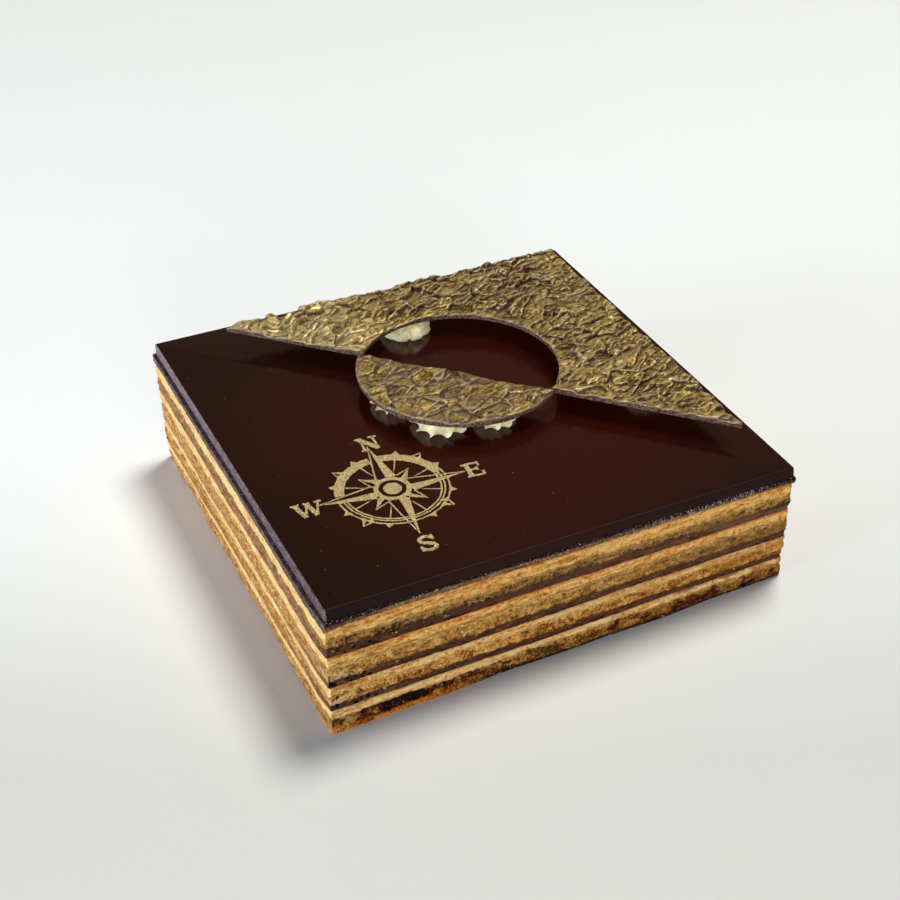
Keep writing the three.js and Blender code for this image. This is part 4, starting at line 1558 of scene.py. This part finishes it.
scattered = {
    "side_crumbs": {
        "places": crumbPlaces, "sizes": (0.18, 0.55), "flatness": 0.8, "seed": 205, "slot": "sponge",
        "finish": "crumb",
        "tones": [(0.2, "4a2e18"), (0.45, "96642c"), (0.7, "c09450"), (0.9, "e8c88c")],
    },
    "glaze_foot_specks": {
        "places": footPlaces, "sizes": (0.05, 0.14), "flatness": 0.8, "seed": 213,
        "slot": "dark_chocolate", "finish": "dust",
        "tones": [(0.1, "5b4a3c"), (0.5, "8c7864"), (0.9, "d6c8b6")],
    },
    "glaze_dust": {
        "places": dustPlaces, "sizes": (0.09, 0.24), "flatness": 0.2, "seed": 223, "slot": "glaze",
        "finish": "dulled_dust", "tones": [(0.1, "3a241a"), (0.6, "5c4231"), (0.95, "8a705c")],
    },
}
for name, look in scattered.items():
    places, seed, (low, high) = look["places"](), look["seed"], look["sizes"]
    i = np.arange(len(places))
    points, faces = blobs(places, low + (high - low) * draw(i, 7, seed) ** 2, look["flatness"], seed)
    tint = np.repeat(draw(i, 8, seed), len(points) // len(places))
    material = crumbMaterial(look["finish"], look["tones"])
    makePiece(name, (points, faces), material, values={"tint": tint})
print("crumbs scattered")


# Floor, lights and camera

studio = {
    "floorWidth": 9.0,
    # painted light on the floor, darker at the front and the back: tones from the front (0) to the back
    # (1) of a strip, in mm, and which way is back
    "floorRun": (-160, 460),
    "floorBack": (0.41, 0.912, 0),
    "paintedFloorLight": [
        (0.0, "dad7cc"), (0.07, "d7d5cb"), (0.13, "dcdbd2"), (0.2, "e7e7de"), (0.26, "f1f1e9"),
        (0.34, "f7f7f0"), (0.6, "f4f4ec"), (1.0, "eaeae1"),
    ],
    "floorSpeck": "dcdcd8",
    "world": (0.043, 0.05, 0.061, 1),
    "aim": (0, 0, 0.02),
    "lights": [
        # name, bearing from +Y towards +X, height angle, distance, width, power, tint
        ("key", 66, 69, 3.2, 1.15, 90, "ffffff"),
        ("left_fill", 268, 7, 2.0, 1.3, 54, "d4e2ff"),
        ("front_fill", 192, 10, 2.2, 1.3, 27, "e2ecff"),
        ("sheen", 24, 36, 2.4, 3.0, 4.0, "ffb868"),
    ],
}
camera = {
    "place": (-190.0, -416.4, 361.8),
    "azimuth": -24.18,
    "elevation": 36.21,
    "roll": -2.04,
    "lens": 67.27,
    "sensor": 36.0,
}


def buildFloor():
    finish = Finish("studio_floor")
    start, end = studio["floorRun"]
    along = finish.join("DOT_PRODUCT", finish.place, studio["floorBack"], "Value")
    # painted light: the floor is darker towards the front and the back
    finish.colour = finish.ramp((along - start) * (1 / (end - start)), studio["paintedFloorLight"])
    finish.paint(finish.noise(40, 2, 0.5, 1) * 0.1, studio["floorSpeck"])
    half = studio["floorWidth"] / 2
    mesh = bpy.data.meshes.new("studio_floor")
    corners = [(-half, -half, 0), (half, -half, 0), (half, half, 0), (-half, half, 0)]
    mesh.from_pydata(corners, [], [(0, 1, 2, 3)])
    mesh.materials.append(finish.shade(0.9, 0.1))
    addObject("studio_floor", mesh)


def buildLights():
    for name, bearing, height, distance, width, power, tint in studio["lights"]:
        a, h = math.radians(bearing), math.radians(height)
        away = Vector((math.sin(a) * math.cos(h), math.cos(a) * math.cos(h), math.sin(h)))
        light = bpy.data.lights.new(name, "AREA")
        light.shape = "DISK"
        light.size = width
        light.energy = power
        light.color = tone(tint)[:3]
        lamp = addObject(name, light)
        lamp.visible_camera = False
        lamp.visible_diffuse = name != "sheen"  # that one only shows in the gloss
        lamp.location = Vector(studio["aim"]) + away * distance
        lamp.rotation_euler = away.to_track_quat("Z", "Y").to_euler()
    world = bpy.data.worlds.new("studio")
    world.use_nodes = True
    world.node_tree.nodes["Background"].inputs["Color"].default_value = studio["world"]
    bpy.context.scene.world = world
    bpy.context.scene.view_settings.view_transform = "Standard"


def buildCamera():
    lens = bpy.data.cameras.new("camera")
    lens.sensor_width = camera["sensor"]
    lens.lens = camera["lens"]
    view = addObject("camera", lens)
    turns = (camera["azimuth"], "Z"), (90 - camera["elevation"], "X"), (camera["roll"], "Z")
    turn, tilt, roll = [Matrix.Rotation(math.radians(angle), 4, axis) for angle, axis in turns]
    view.matrix_world = Matrix.Translation(Vector(camera["place"]) * mm) @ turn @ tilt @ roll
    bpy.context.scene.camera = view


buildFloor()
buildLights()
buildCamera()
print("studio built")
